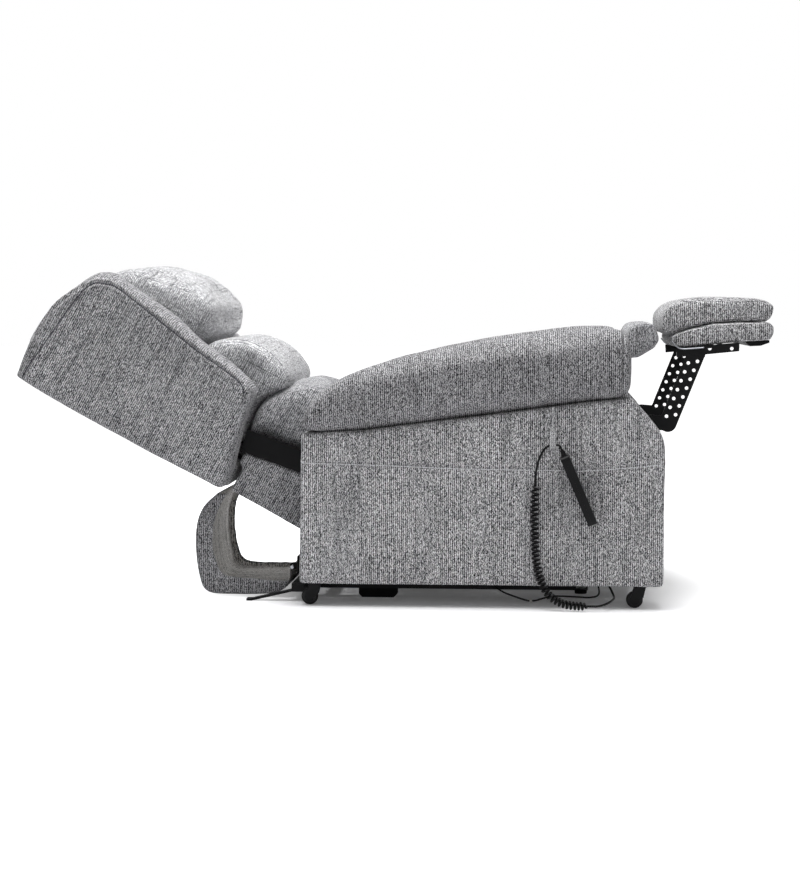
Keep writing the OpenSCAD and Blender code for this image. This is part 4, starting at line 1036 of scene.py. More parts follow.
@dataclass
class Wing:
    """One wing of the back: a flat padded panel with a boxed edge and a welt round its face."""

    side: Side
    seam: Sequence[Point2] = (
        (529, 8), (527, 40), (520, 92), (508, 193), (497, 252), (482, 280), (460, 290), (429, 296),
        (345, 283), (219, 262), (107, 248), (72, 239), (55, 219))
    outline: Sequence[Point2] = (
        (4, 4), (60, 0), (300, -6), (527, -2), (548, 12), (557, 80), (557, 132), (548, 195), (527, 240),
        (505, 284), (485, 308), (457, 318), (440, 314), (356, 306), (284, 297), (213, 279), (130, 269),
        (66, 253), (42, 236), (37, 200), (28, 150), (11, 90), (0, 45))
    # Through its thickness: the share of it from the inner face, and how far the outline is drawn in there
    profile: Sequence[Point2] = (
        (0.0, 12), (0.03, 6), (0.12, 1.5), (0.3, 0), (0.62, 0), (0.74, 1.2), (0.84, 4.5), (0.92, 10),
        (0.97, 16), (1.0, 24))
    # The two folds at its upper corner with their depths, and how far inside the outer face their points lie
    folds: Sequence[tuple[Sequence[Point2], float]] = (
        (((545, 96), (541, 170), (516, 240)), 3.0), (((536, 180), (524, 226), (504, 262)), 2.4))
    fold_in: Point3 = (14, 9, 6)
    seam_in: float = 1.5

    def build(self) -> None:
        """Makes the wing's cover, its welt and the folds at its corner."""
        sign = self.side.value
        flat = even_line(smooth_line([BACK.flat(*p) for p in self.outline], 8, closed=True), 8.0, True)
        rows = [[(q[0], sign * (WING_IN + t * (WING_OUT - WING_IN)), q[1]) for q in drawn_in(flat, d)]
                for t, d in self.profile]
        name = f"{self.side.name.lower()}_wing"
        # The wing's cover takes the tweed darkened with painted shade
        obj = new_piece(f"{name}_cover", np.vstack(rows), ring_faces(len(rows), len(flat)),
                        FINISHES.of(WING_SHADE_PAINTED_TWEED))
        remesh(obj, 6.0)
        relax(obj, 3)
        subdivide(obj)
        ruffle(obj, 1.5, 120, 3.0 + sign)
        ruffle(obj, 0.5, 36, 5.0 + sign)
        seam = np.array([BACK.at(along, out, sign * (WING_OUT - self.seam_in)) for along, out
                         in smooth_line(self.seam, 30)])
        crease(obj, even_line(seam, CREASE_STEP), 4.0, 3.0, 1.8)
        for places, depth in self.folds:
            fold = smooth_line([BACK.at(*place, sign * (WING_OUT - inset))
                                for place, inset in zip(places, self.fold_in)], 24)
            crease(obj, fold, 6.0, depth, 1.6)
        confine(obj, [((0, -sign, 0), -WING_IN)], 0.5)
        shown = dropped(obj, even_line(seam, 4.0), (0, -sign, 0))
        # The welt takes the tweed darkened with painted shade, for the dark line of the seam
        welt(f"{name}_seam", shown, 1.5, "back", SEAM_SHADE_PAINTED_TWEED)
        lay_weave(obj, GRAIN_WING)
        finish_piece(obj, "back", [name])


@dataclass
class BackShell:
    """The padded rear panel of the back and the covered box below it."""

    half: float = 242.9
    panel: Sequence[Point2] = (
        (-2, 2), (-4, 30), (0, 58), (60, 60), (300, 60), (500, 58), (541, 52), (540, 30), (531, 2),
        (300, -8), (60, -4))
    front: float = 61.5             # front face of the panel, out from the back's rear plane
    seams: Point2 = (505.0, 60.0)   # where it is sewn across, along the back
    seam_out: float = 20.0          # how far round its edges the seams go

    def build(self) -> None:
        """Makes both pieces."""
        stuffing = Stuffing(edge=14, pull=4, voxel=6.0, slim=1.0, cap=5, soften=3)
        panel = Cushion("back_rear_cover", "back", "fabric_side", "back_rear_panel", self.panel, self.half,
                        stuffing, GRAIN_PANEL, SIDE_CLOTH, BACK,
                        [*between(self.half), BACK.limit(self.front, 1)], fill=0.8, seed=12.0, swells=1.4)
        obj = panel.build()
        for level in self.seams:
            line = slice_line(obj, BACK.at(level, 0, 0), (BACK.along[0], 0, BACK.along[1]))
            rear = (line[:, [0, 2]] - np.array(BACK.corner)) @ np.array(BACK.out) < self.seam_out
            crease(obj, line[rear], 4.0, 1.8, 0.5)
        panel.close(obj)
        self.box()

    def box(self) -> None:
        """Covers the box at the foot of the back."""
        # The box's cover takes the tweed darkened with painted shade
        obj = softened("lower_back_box", "lower_back_cover", PAD_SHADE_PAINTED_TWEED, 6.0, 2)
        ruffle(obj, 0.8, 90, 2.0)
        lay_weave(obj, GRAIN_WING)
        finish_piece(obj, "back", ["lower_back_box"])


def softened(node: str, name: str, cloth: Tweed, voxel: float, passes: int) -> bpy.types.Object:
    """A copy of a CAD node's solid with an even mesh and softened edges.

    Args:
        node: the node.
        name: the new piece's name.
        cloth: its cloth.
        voxel: the size of a face, in millimetres.
        passes: how many smoothing passes round its edges.

    Returns:
        The copy, which rides on nothing yet.
    """
    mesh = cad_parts[node].data.copy()
    mesh.materials.clear()
    obj = bpy.data.objects.new(name, mesh)
    bpy.context.scene.collection.objects.link(obj)
    remesh(obj, voxel)
    relax(obj, passes)
    subdivide(obj)
    obj.data.materials.append(FINISHES.of(cloth))
    obj.data.shade_smooth()
    return obj


@dataclass
class Arm:
    """One arm: a covered box with a stitched seam across it, and a full pad along its top."""

    side: Side
    seam: Sequence[Point2] = (
        (-211, 331.5), (-182.6, 331), (-20.7, 327), (163.6, 320.4), (378.4, 318), (419.4, 316.4),
        (541.6, 325.6), (613, 333.5))
    stitched: Point2 = (-204.0, 606.0)    # from where to where thread shows along the seam
    thread_drop: float = 3.4              # how far below the seam it lies
    pad_low: Sequence[Point2] = (
        (-207, 396), (-67, 403), (81, 422), (213, 439), (336, 455), (439, 468), (527, 477))
    pad_high: Sequence[Point2] = (
        (-207, 440), (-186, 470), (-144, 508), (-96, 536), (-30, 553), (118, 590), (283, 615), (447, 633),
        (505, 636), (530, 626))
    # Sections of the pad along X, and how much each is drawn in
    stations: Sequence[Point2] = (
        (-207, 17), (-203, 11), (-196, 7), (-186, 3), (-160, 0), (-120, 0), (-80, 0), (-30, 0), (20, 0),
        (80, 0), (140, 0), (200, 0), (260, 0), (320, 0), (380, 0), (440, 0), (480, 0), (500, 0), (512, 1),
        (524, 5), (532, 12), (538, 24))
    pad_ends: Point2 = (-209.0, 540.0)
    pad_seam_x: float = 521.0
    pad_sides: int = 48
    pad_slim: float = 3.0        # how much smaller it starts before it swells
    pad_square: Point2 = (0.6, 0.42)      # how square its section is above and below; 1 is an ellipse

    def build(self) -> None:
        """Makes the box's cover, the seam and the pad."""
        self.box()
        self.pad()

    def box(self) -> None:
        """Covers the arm's box."""
        sign, name = self.side.value, self.side.name.lower()
        obj = softened(f"{name}_arm_box", f"{name}_arm_cover", SIDE_CLOTH, 7.0, 3)
        ruffle(obj, 1.1, 150, 6.0 + sign)
        ruffle(obj, 0.4, 40, 8.0 + sign)
        seam = smooth_line(self.seam, 40)
        line = np.stack([seam[:, 0], np.full(len(seam), sign * (ARM_OUT - 0.4)), seam[:, 1]], axis=1)
        crease(obj, even_line(line, CREASE_STEP), 4.5, 2.6, 1.2)
        confine(obj, [((0, -sign, 0), -ARM_IN)], 0.5)
        lay_weave(obj, GRAIN_ARM)
        finish_piece(obj, "chassis", [f"{name}_arm_box"])
        below = line + np.array([0.0, sign * 0.5, -self.thread_drop])
        shown = below[(below[:, 0] > self.stitched[0]) & (below[:, 0] < self.stitched[1])]
        stitches(f"{name}_arm_stitches", shown, pitch=7.0, length=6.0, radius=1.2, body="chassis")

    def pad(self) -> None:
        """Makes the pad and the seam round its front end."""
        sign, name = self.side.value, self.side.name.lower()
        low, high = np.array(self.pad_low, float), np.array(self.pad_high, float)
        sides, slim, rows = self.pad_sides, self.pad_slim, []
        angles = (np.arange(sides) + 0.5) * FULL_TURN / sides
        c, s = np.cos(angles), np.sin(angles)
        above, below = self.pad_square
        for x, shrink in self.stations:
            bottom = np.interp(x, low[:, 0], low[:, 1]) + shrink + slim * 0.4
            top = np.interp(x, high[:, 0], high[:, 1]) - shrink - slim
            wide = (PAD_OUT - ARM_IN) / 2 - shrink - slim
            y = (PAD_OUT + ARM_IN) / 2 + wide * np.sign(c) * np.abs(c) ** above
            square = np.where(s > 0, above, below)
            z = (top + bottom) / 2 + (top - bottom) / 2 * np.sign(s) * np.abs(s) ** square
            rows.append(np.stack([np.full(sides, float(x)), sign * y, z], axis=1))
        # The pad's cover takes the tweed darkened with painted shade
        obj = new_piece(f"{name}_pad_cover", np.vstack(rows), ring_faces(len(rows), sides),
                        FINISHES.of(PAD_SHADE_PAINTED_TWEED))
        remesh(obj, 6.0)
        relax(obj, 4)
        swell(obj, 8.0)
        rear, front = self.pad_ends
        confine(obj, [((0, -sign, 0), -ARM_IN), ((0, sign, 0), PAD_OUT), ((1, 0, 0), front),
                      ((-1, 0, 0), -rear)])
        rest_on(obj, self.pad_low, half=ARM_OUT - 1)
        subdivide(obj)
        ruffle(obj, 1.8, 130, 11.0 + sign)
        ruffle(obj, 0.6, 40, 15.0 + sign)
        line = slice_line(obj, (self.pad_seam_x, 0, 0), (1, 0, 0))
        crease(obj, even_line(line, CREASE_STEP, True), 5.0, 2.6, 1.0)
        rest_on(obj, self.pad_low, half=ARM_OUT - 1)
        lay_weave(obj, GRAIN_ARM)
        finish_piece(obj, "chassis", [f"{name}_arm_pad"])


@dataclass
class SeatUpholstery:
    """The seat cushion, the roll at its front edge and the covered board behind it."""

    rear: float = 58.0
    front: float = 566.0
    thick: float = 92.0
    seams: Point2 = (16.0, 74.0)      # heights of the two seams round the seat cushion
    roll: Sequence[Point2] = (
        (534, 560), (531, 600), (535, 630), (546, 642), (566, 646), (588, 645), (597, 639), (604, 622),
        (608, 606), (600, 594), (583, 584), (560, 571))

    def build(self) -> None:
        """Makes the three pieces."""
        r, f, t = self.rear, self.front, self.thick
        outline = ((r + 2, 7), (r, 45), (r + 14, t - 10), (r + 90, t + 3), (r + 250, t + 4), (f - 64, t),
                   (f - 8.6, t - 8), (f - 18.6, 50), (f - 28.6, 7), (f - 80, 1.2), (r + 250, 1.2),
                   (r + 60, 1.2))
        sides = between(SEAT_HALF)
        # The seat cushion takes the tweed copy with painted top light
        cushion = Cushion("seat_cushion_cover", "seat", "fabric_top", "seat_cushion", outline, SEAT_HALF,
                          Stuffing(edge=40, pull=9, crown=2, voxel=6.5, slim=4, cap=10), GRAIN_SEAT,
                          TOP_LIGHT_PAINTED_TWEED, SEAT, [*sides, SEAT.limit(0.8, -1)], fill=0.8, seed=20.0, swells=2.0)
        obj = cushion.build()
        for level in self.seams:
            line = slice_line(obj, SEAT.at(300, level, 0), (SEAT.out[0], 0, SEAT.out[1]))
            crease(obj, even_line(line, CREASE_STEP, True), 5.0, 2.0, 0.6)
        cushion.close(obj)
        # The front roll takes the tweed copy with less painted top light
        roll = Cushion("seat_front_roll_cover", "seat", "fabric_side", "seat_front_roll", self.roll,
                       SEAT_HALF, Stuffing(edge=20, pull=6, voxel=5.0, slim=1.5, cap=6), GRAIN_LEG,
                       HALF_LIGHT_PAINTED_TWEED, LEVEL, sides, fill=0.85, seed=23.0, swells=1.4)
        roll.close(roll.build())
        deck = softened("seat_rear_deck", "seat_deck_cover", SIDE_CLOTH, 3.0, 1)
        lay_weave(deck, GRAIN_SEAT)
        finish_piece(deck, "seat", ["seat_rear_deck"])


@dataclass
class LegrestUpholstery:
    """The legrest's covered board and the soft cushion that lies over it."""

    cushion: Sequence[Point2] = (
        (609, 618), (606, 640), (607, 658), (620, 677), (646, 690), (690, 697.5), (740, 699), (800, 697.5),
        (845, 694), (869, 685), (872, 676), (868, 660), (856, 647.6), (788, 647.1), (731, 644.1),
        (673, 631), (642, 621), (624, 616))
    outer_end: float = 873.0
    # The folds in each side of the cushion, as X and Z, with their depths, and how far inside it they lie
    folds: Sequence[tuple[Sequence[Point2], float]] = (
        (((700, 668), (726, 656), (748, 652)), 3.2), (((838, 660), (856, 668), (868, 676)), 4.0),
        (((640, 676), (662, 662), (690, 654)), 1.8))
    fold_in: float = 6.0
    # Just above the board: the line that the cushion's underside keeps to, and from where to where
    board_top: Sequence[Point2] = ((640, 617.5), (673, 630.6), (731, 643.7), (788, 646.7), (860, 647.2))
    board_ends: Point2 = (642.0, 866.0)
    # The edge strip's line as X and Z, and its distance from the middle plane
    strip: Sequence[Point2] = ((634, 603), (643, 591.5), (656, 585.4), (680, 586.0), (707, 588.4))
    strip_y: float = 252.6

    def build(self) -> None:
        """Makes both pieces and their creases."""
        board = softened("legrest_board", "legrest_board_cover", SIDE_CLOTH, 4.0, 2)
        ruffle(board, 0.7, 70, 31.0)
        lay_weave(board, GRAIN_LEG)
        finish_piece(board, "legrest", ["legrest_board"])
        limits = [*between(SEAT_HALF), ((1, 0, 0), self.outer_end)]
        pad = Cushion("legrest_cushion_cover", "legrest", "fabric_top", "legrest_cushion", self.cushion,
                      SEAT_HALF, Stuffing(edge=26, pull=6, crown=1, voxel=5.0, slim=1.5, cap=6, soften=3),
                      GRAIN_LEG, SIDE_CLOTH, LEVEL, limits, fill=0.6, seed=27.0, swells=1.6)
        obj = pad.build()
        for side in Side:
            y = side.value * (SEAT_HALF - self.fold_in)
            for fold, depth in self.folds:
                crease(obj, smooth_line([(x, y, z) for x, z in fold], 12), 5.0, depth, 1.0)
        rest_on(obj, self.board_top, ahead=self.board_ends)
        pad.close(obj)
        self.trim()

    def trim(self) -> None:
        """Makes the bright strip under the board's inner end, one on each side."""
        for side in Side:
            line = smooth_line([(x, side.value * self.strip_y, z) for x, z in self.strip], 8)
            obj = tube(f"legrest_edge_strip_{side.name.lower()}", line, 1.6, 10, FINISHES.of(BRIGHT_STEEL))
            finish_piece(obj, "legrest")


@dataclass(frozen=True)
class Wave:
    """A wave in cloth, in millimetres: its height, its length along the cloth and across it, and its seed."""

    height: float
    along: float
    across: float
    seed: float

    def at(self, place: float, y: float, share: float = 1.0) -> float:
        """How far it lifts the cloth there, where it has that share of its height."""
        return self.height * share * noise.noise(Vector((place / self.along, y / self.across, self.seed)))


@dataclass
class Curtain:
    """The cloth that hangs from the back's lower edge to the floor and folds there towards the chassis.

    Its two sides are turned in, so that across the chair it is a shallow channel, open to the front.
    """

    thick: float = 3.0
    hem_rise: float = 1.4      # how much thicker the hem of a turned-in side is
    bend: float = 14.0         # radius at which a side turns in
    # The middle line of the cloth, and beside each point the edge of the turned-in sides
    falls: Sequence[tuple[float, float, float, float]] = (
        (-250, 67, -250, 69), (-252, 44, -250, 50), (-262, 23, -257, 40), (-288, 11, -286, 40),
        (-330, 8, -328, 44), (-370, 7, -363, 46), (-405, 7, -388, 49), (-432, 8, -407, 54),
        (-451, 15, -417, 64), (-463, 36, -424, 82), (-474, 100, -433, 112), (-473, 165, -432, 166),
        (-456, 210, -420, 206), (-421, 245, -400, 243))
    turned_in: Point2 = (1.0, 0.35)    # how far the right side and the left one are turned in
    row_mm: float = 6.5                # between rows of points along the cloth
    columns: int = 61                  # points across its flat part, with both ends
    still: float = 50.0                # length at either end in which the waves die away
    billow: Wave = Wave(2.2, 90, 70, 3.0)
    # The fall by the floor wrinkles too, up to this place along the cloth, and fades over the next length
    wrinkle: Wave = Wave(3.4, 150, 30, 5.0)
    wrinkled_to: float = 190.0
    wrinkle_fade: float = 90.0
    hem_wander: Wave = Wave(1.5, 16, 400, 9.0)
    floor_gap: float = 1.2

    # Places down a turned-in side, as shares of its flat depth; those over HEM_FROM are hem
    SIDE_PLACES: ClassVar[Sequence[float]] = (1.0, 0.72, 0.7, 0.35)
    HEM_FROM: ClassVar[float] = 0.6
    # Places round its bend, as shares of a quarter turn, and the most of its depth that the bend takes
    BEND_PLACES: ClassVar[Sequence[float]] = (1.0, 0.75, 0.5, 0.25, 0.0)
    BEND_SHARE: ClassVar[float] = 0.6

    def side(self, depth: float) -> list[tuple[float, float, float, bool]]:
        """One turned-in side, from its hem to where the flat cloth starts.

        Args:
            depth: how deep it is here.

        Returns:
            For each point Y, the depth, the angle that the cloth has turned through and whether it is hem.
        """
        radius = min(self.bend, self.BEND_SHARE * depth)
        edge = CURTAIN_HALF - 1 - self.thick / 2
        turned = [(edge, radius + (depth - radius) * k, QUARTER_TURN, k > self.HEM_FROM)
                  for k in self.SIDE_PLACES]
        for k in self.BEND_PLACES:
            angle = QUARTER_TURN * k
            turned.append((edge - radius * (1 - math.sin(angle)), radius * (1 - math.cos(angle)), angle,
                           False))
        return turned

    def section(self, depth: float) -> list[tuple[float, float, float, bool]]:
        """The channel across the chair, right hem to left hem, with each point as side() gives it."""
        right, left = (self.side(depth * share) for share in self.turned_in)
        places = np.linspace(-right[-1][0], left[-1][0], self.columns)[1:-1]
        flat = [(float(y), 0.0, 0.0, False) for y in places]
        return [(-y, d, -a, h) for y, d, a, h in right] + flat + left[::-1]

    def rows(self) -> tuple[np.ndarray, np.ndarray]:
        """The cloth's middle line with its sides' edge, set out evenly, and the run along it."""
        line = smooth_line(self.falls, 10)
        run = run_along(line[:, :2])
        places = np.linspace(0, run[-1], int(run[-1] / self.row_mm))
        return np.stack([np.interp(places, run, line[:, k]) for k in range(4)], axis=1), places

    def build(self) -> None:
        """Makes the curtain as one sheet that bends at its fold."""
        rows, run = self.rows()
        length = float(run[-1])
        layers: tuple[list, list] = ([], [])
        depths = [math.hypot(rx - x, rz - z) for x, z, rx, rz in rows]
        for (x, z, rx, rz), depth, place in zip(rows, depths, run):
            ix, iz = (rx - x) / depth, (rz - z) / depth
            ease = min(1.0, place / self.still, (length - place) / self.still)
            low = max(0.0, 1 - max(0.0, place - self.wrinkled_to) / self.wrinkle_fade)
            for y, d, angle, hemmed in self.section(depth):
                wave = ease * (self.billow.at(place, y) + self.wrinkle.at(place, y, low))
                wander = self.hem_wander.at(place, y) if hemmed else 0.0
                for layer, face in zip(layers, (0.5, -0.5)):
                    shift = face * (self.thick + (self.hem_rise if hemmed else 0.0)) + wave
                    inward = d + wander - shift * math.cos(angle)
                    layer.append((x + ix * inward, y + shift * math.sin(angle),
                                  max(z + iz * inward, self.floor_gap)))
        # The hem's columns are the same at every depth
        hem = [h for *_, h in self.section(depths[0])]
        self.sheet(layers, len(rows), hem)

    def sheet(self, layers: tuple[list, list], rows: int, hem: Sequence[bool]) -> None:
        """Args:
            layers: the points of the outer and of the inner face, row by row.
            rows: how many rows there are.
            hem: for each point of a row, whether it is hem.
        """
        count, far, faces = len(hem), len(layers[0]), []
        for side in range(2):
            for i in range(rows - 1):
                for j in range(count - 1):
                    a = side * far + i * count + j
                    quad = (a, a + 1, a + count + 1, a + count)
                    faces.append(quad if side else quad[::-1])
        rim = [i * count for i in range(rows)]
        rim += [(rows - 1) * count + j for j in range(1, count)]
        rim += [i * count + count - 1 for i in range(rows - 2, -1, -1)]
        rim += list(range(count - 2, 0, -1))
        faces += [(a, b, far + b, far + a) for a, b in zip(rim, rim[1:] + rim[:1])]
        # The outside takes the tweed darkened with painted shade; the plain inner faces take the pale
        # reverse, made paler with painted light
        obj = new_piece("rear_curtain", [*layers[0], *layers[1]], faces, FINISHES.of(PAD_SHADE_PAINTED_TWEED))
        obj.data.materials.append(FINISHES.of(REVERSE_LIGHT_PAINTED_TWEED))
        inner = np.zeros(len(obj.data.polygons), int)
        half = (rows - 1) * (count - 1)
        plain = np.array([not (a or b) for a, b in zip(hem, hem[1:])])
        inner[half:2 * half] = plain[np.arange(half) % (count - 1)]
        obj.data.polygons.foreach_set("material_index", inner)
        lay_weave(obj, GRAIN_CURTAIN)
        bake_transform(obj)
        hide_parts("curtain_lower", "curtain_upper")


# ---------------------------------------------------------------- handset, cords and strap
@dataclass
class HandsetCable:
    """The handset's cable: from the control box, through its curls and over the strap to the handset."""

    cord_d: float = 5.0
    coil_d: float = 20.0
    turns: int = 36
    stretch: float = 0.18            # how much wider apart the curls hang towards the top
    opening: float = 14.0            # length over which the curls open to their full width
    points_a_turn: int = 18
    top: Point3 = (388.0, -411.0, 350.0)
    gland: float = 14.0              # how far the gland stands out of the handset's top
    lean: float = math.radians(67.0)
    cord_route: Sequence[Point3] = ((374, -411, 373), (363, -411, 372.5), (348, -411, 368), (336, -410, 350),
                                    (329, -407, 330), (326, -404, 313), (325, -403, 302), (325, -403, 296),
                                    (325, -403, 290))
    coil_route: Sequence[Point3] = ((325, -403, 290), (325, -403, 284), (325, -403, 278), (324, -402, 262),
                                    (323, -402, 224), (324, -402, 161), (327, -402, 114), (336, -403, 72),
                                    (352, -406, 40), (376, -410, 21), (404, -414, 13.5), (432, -417, 12.5),
                                    (440, -417, 12.5), (448, -417, 12.5))
    tail_route: Sequence[Point3] = ((448, -417, 12.5), (455, -417, 12.5), (462, -417, 12.5), (474, -412, 14),
                                    (489, -392, 17), (500, -352, 19), (504, -312, 19), (500, -272, 26),
                                    (490, -242, 44), (482, -222, 66), (480, -212, 79), (480, -206, 79),
                                    (480, -200, 79))

    def past_gland(self, beyond: float) -> Point3:
        """The point on the handset's long axis, that far beyond its gland."""
        reach = self.gland + beyond
        return (self.top[0] - reach * math.cos(self.lean), self.top[1],
                self.top[2] + reach * math.sin(self.lean))

    def curls(self) -> np.ndarray:
        """The curly part's centreline, straight for one cord diameter at each end."""
        axis = smooth_line(self.coil_route, 6)
        run = run_along(axis)
        total = run[-1]

        def at(place: float) -> np.ndarray:
            """The axis at that distance along it."""
            return np.array([np.interp(place, run, axis[:, k]) for k in range(3)])

        rows = [at(0.0)]
        steps = self.turns * self.points_a_turn
        for i in range(steps + 1):
            place = self.cord_d + (total - 2 * self.cord_d) * i / steps
            way = at(min(place + 2, total)) - at(max(place - 2, 0))
            way /= np.linalg.norm(way)
            u = np.cross(way, (0, 1, 0))
            u /= np.linalg.norm(u)
            v = np.cross(u, way)
            ease = min(1, max(0, place - self.cord_d) / self.opening,
                       max(0, total - self.cord_d - place) / self.opening)
            radius = (self.coil_d - self.cord_d) / 2 * math.sin(QUARTER_TURN * ease)
            share = (place - self.cord_d) / (total - 2 * self.cord_d)
            angle = FULL_TURN * self.turns * (share + self.stretch * (share * share - share))
            rows.append(at(place) + radius * (math.cos(angle) * u + math.sin(angle) * v))
        rows.append(at(total))
        return np.array(rows)

    def build(self) -> None:
        cord = smooth_line([self.past_gland(0), self.past_gland(4), self.past_gland(8), *self.cord_route], 6)
        tail = smooth_line(self.tail_route, 6)
        path = np.vstack([cord, self.curls()[1:], tail[1:]])[::-1]
        obj = tube("handset_cable", path, self.cord_d / 2, 10, FINISHES.of(CORD_PVC))
        finish_piece(obj, "chassis", ["handset_cord", "handset_coil", "handset_tail"])


@dataclass
class ControlLead:
    """The thin lead from the chassis rail down to the floor and back up to the control box."""

    diameter: float = 4.0
    route: Sequence[Point3] = ((222, -252, 60), (222, -252, 55), (222, -252, 50), (228, -260, 36),
                               (250, -276, 23), (280, -292, 14), (304, -299, 7.5), (314, -300, 7),
                               (324, -300, 7.5), (340, -300, 12), (365, -300, 18), (415, -300, 17),
                               (448, -294, 15), (468, -276, 18), (470, -254, 32), (460, -232, 58),
                               (452, -218, 78), (450, -211, 84), (450, -206, 84), (450, -200, 84))

    def build(self) -> None:
        path = smooth_line(self.route, 5)
        obj = tube("control_lead_cable", path, self.diameter / 2, 12, FINISHES.of(CORD_PVC))
        finish_piece(obj, "chassis", ["control_lead"])


@dataclass
class HandsetStrap:
    """The woven tape that hangs under the arm pad and ends in a loop for the handset's cord."""

    x: float = 363.0
    y: float = -411.0
    wide: float = 14.0
    neck: float = 6.0
    thick: float = 2.0
    loop_z: float = 372.0
    loop_r: float = 5.0
    top_z: float = 456.6
    gap: float = 0.25                # half the angle that the loop leaves open at its top

    # Corners of the tape's section, as shares of half its width and thickness, with the ends' edges worn
    CORNERS: ClassVar[Sequence[Point2]] = (
        (-1, -1), (-0.5, -1), (0.5, -1), (1, -1), (1, 1), (0.5, 1), (-0.5, 1), (-1, 1))
    EDGE_SHARE: ClassVar[float] = 0.7

    def build(self) -> None:
        """Makes the tape: in under the pad, down the arm's face, round the loop and back on itself."""
        stem = [(self.y + 18, self.top_z, self.neck), (self.y + 6, self.top_z, self.neck),
                (self.y + 1, self.top_z - 3, self.neck), (self.y, self.top_z - 12, self.neck),
                (self.y, self.top_z - 32, self.neck + 0.5), (self.y, self.top_z - 52, self.wide - 3.5),
                (self.y, self.loop_z + 16, self.wide - 0.6), (self.y, self.loop_z + 8, self.wide)]
        loop = [(self.y + self.loop_r * math.sin(a), self.loop_z + self.loop_r * math.cos(a), self.wide)
                for a in np.linspace(self.gap, FULL_TURN - self.gap, 18)]
        rows = np.array(smooth_line(stem + loop, 3))
        tangent = np.gradient(rows[:, :2], axis=0)
        tangent /= np.linalg.norm(tangent, axis=1)[:, None]
        out = np.stack([-tangent[:, 1], tangent[:, 0]], axis=1)
        points = []
        for (y, z, wide), (oy, oz) in zip(rows, out):
            for sx, so in self.CORNERS:
                round_off = self.EDGE_SHARE if abs(sx) == 1 else 1.0
                points.append((self.x + sx * wide / 2, y + so * oy * self.thick / 2 * round_off,
                               z + so * oz * self.thick / 2 * round_off))
        obj = new_piece("handset_strap_tape", points, ring_faces(len(rows), len(self.CORNERS)),
                        FINISHES.of(TAPE))
        lay_weave(obj, GRAIN_ARM)
        finish_piece(obj, "chassis", ["handset_strap"])


# ---------------------------------------------------------------- steel, motors and castors
@dataclass
class Steelwork:
    """The CAD nodes that show as they are, each with its finish."""

    nodes: dict[str, Coated | Drawn] = field(default_factory=lambda: {
        node: finish for finish, names in (
            (POWDER_COAT, ("base_frame", "stabiliser_bars", "rear_lift_links", "front_lift_links",
                           "chassis_frame", "seat_frame", "legrest_links", "legrest_plates", "back_frame")),
            (BRIGHT_STEEL, ("base_pins", "chassis_pins", "curtain_rod", "lift_rod", "recline_rod")),
            (SPRING_STEEL, ("seat_springs",)),
            (MOTOR_NYLON, ("lift_motor", "recline_motor", "control_box")),
            (FOOT_RUBBER, ("base_feet", "legrest_bumper")),
            (HANDSET_ABS, ("handset_case",)),
            (CORD_PVC, ("handset_gland",)),
            (TIE_NYLON, ("lead_tie",)),
            (BUTTON_RUBBER, ("button_back_up", "button_back_down", "button_legs_up", "button_legs_down")))
        for node in names})
    corners: Sequence[str] = ("front_right", "front_left", "rear_right", "rear_left")
    edge: float = 0.5           # how wide a sharp edge is rounded, and the handset's
    case_edge: float = 3.2

    @staticmethod
    def break_edges(obj: bpy.types.Object, width: float) -> None:
        """Rounds the node's sharp edges, so that they catch the light.

        Args:
            obj: the node's object.
            width: how wide the rounding is, in millimetres.
        """
        bevel = obj.modifiers.new("Broken edges", "BEVEL")
        bevel.width, bevel.segments = width * MM, 2
        bevel.limit_method, bevel.angle_limit = "ANGLE", math.radians(50)
        bevel.use_clamp_overlap = True
        bevel.harden_normals = False

    def build(self) -> None:
        """Dresses each node."""
        chosen = dict(self.nodes)
        for corner in self.corners:
            chosen[f"{corner}_castor_fork"] = POWDER_COAT
            chosen[f"{corner}_castor_wheel"] = WHEEL_NYLON
        for node, finish in chosen.items():
            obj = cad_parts[node]
            self.break_edges(obj, self.case_edge if node == "handset_case" else self.edge)
            if not obj.material_slots:
                obj.data.materials.append(None)
            for slot in obj.material_slots:
                slot.material = FINISHES.of(finish)
            log.info("%s: %s", node, finish.name)


@dataclass
class CastorTrim:
    """Hub caps of the four castors."""

    rear_x: float = -192.0
    front_x: float = 549.0
    y: float = 344.5
    axle_z: float = 19.0
    wide: float = 16.0
    # The cap's rings, from its rim inwards: radius and how far each stands out of the wheel's face
    cap: Sequence[Point2] = ((11.5, 0.0), (11.2, 0.5), (9.0, 0.75), (6.5, 0.7), (5.0, 0.2))
    sides: int = 28

    def build(self) -> None:
        """Makes two hub caps for each wheel."""
        for end, x in (("rear", self.rear_x), ("front", self.front_x)):
            for side in Side:
                name = f"{end}_{side.name.lower()}"
                centre_y = side.value * self.y
                for face in (-1, 1):
                    points = []
                    for radius, height in self.cap:
                        for k in range(self.sides):
                            a = FULL_TURN * k / self.sides
                            points.append((x + radius * math.cos(a),
                                           centre_y + face * (self.wide / 2 + height),
                                           self.axle_z + radius * math.sin(a)))
                    place = "inner" if face == -side.value else "outer"
                    obj = new_piece(f"{name}_hub_{place}", points, ring_faces(len(self.cap), self.sides),
                                    FINISHES.of(MOTOR_NYLON))
                    finish_piece(obj, f"{name}_wheel")


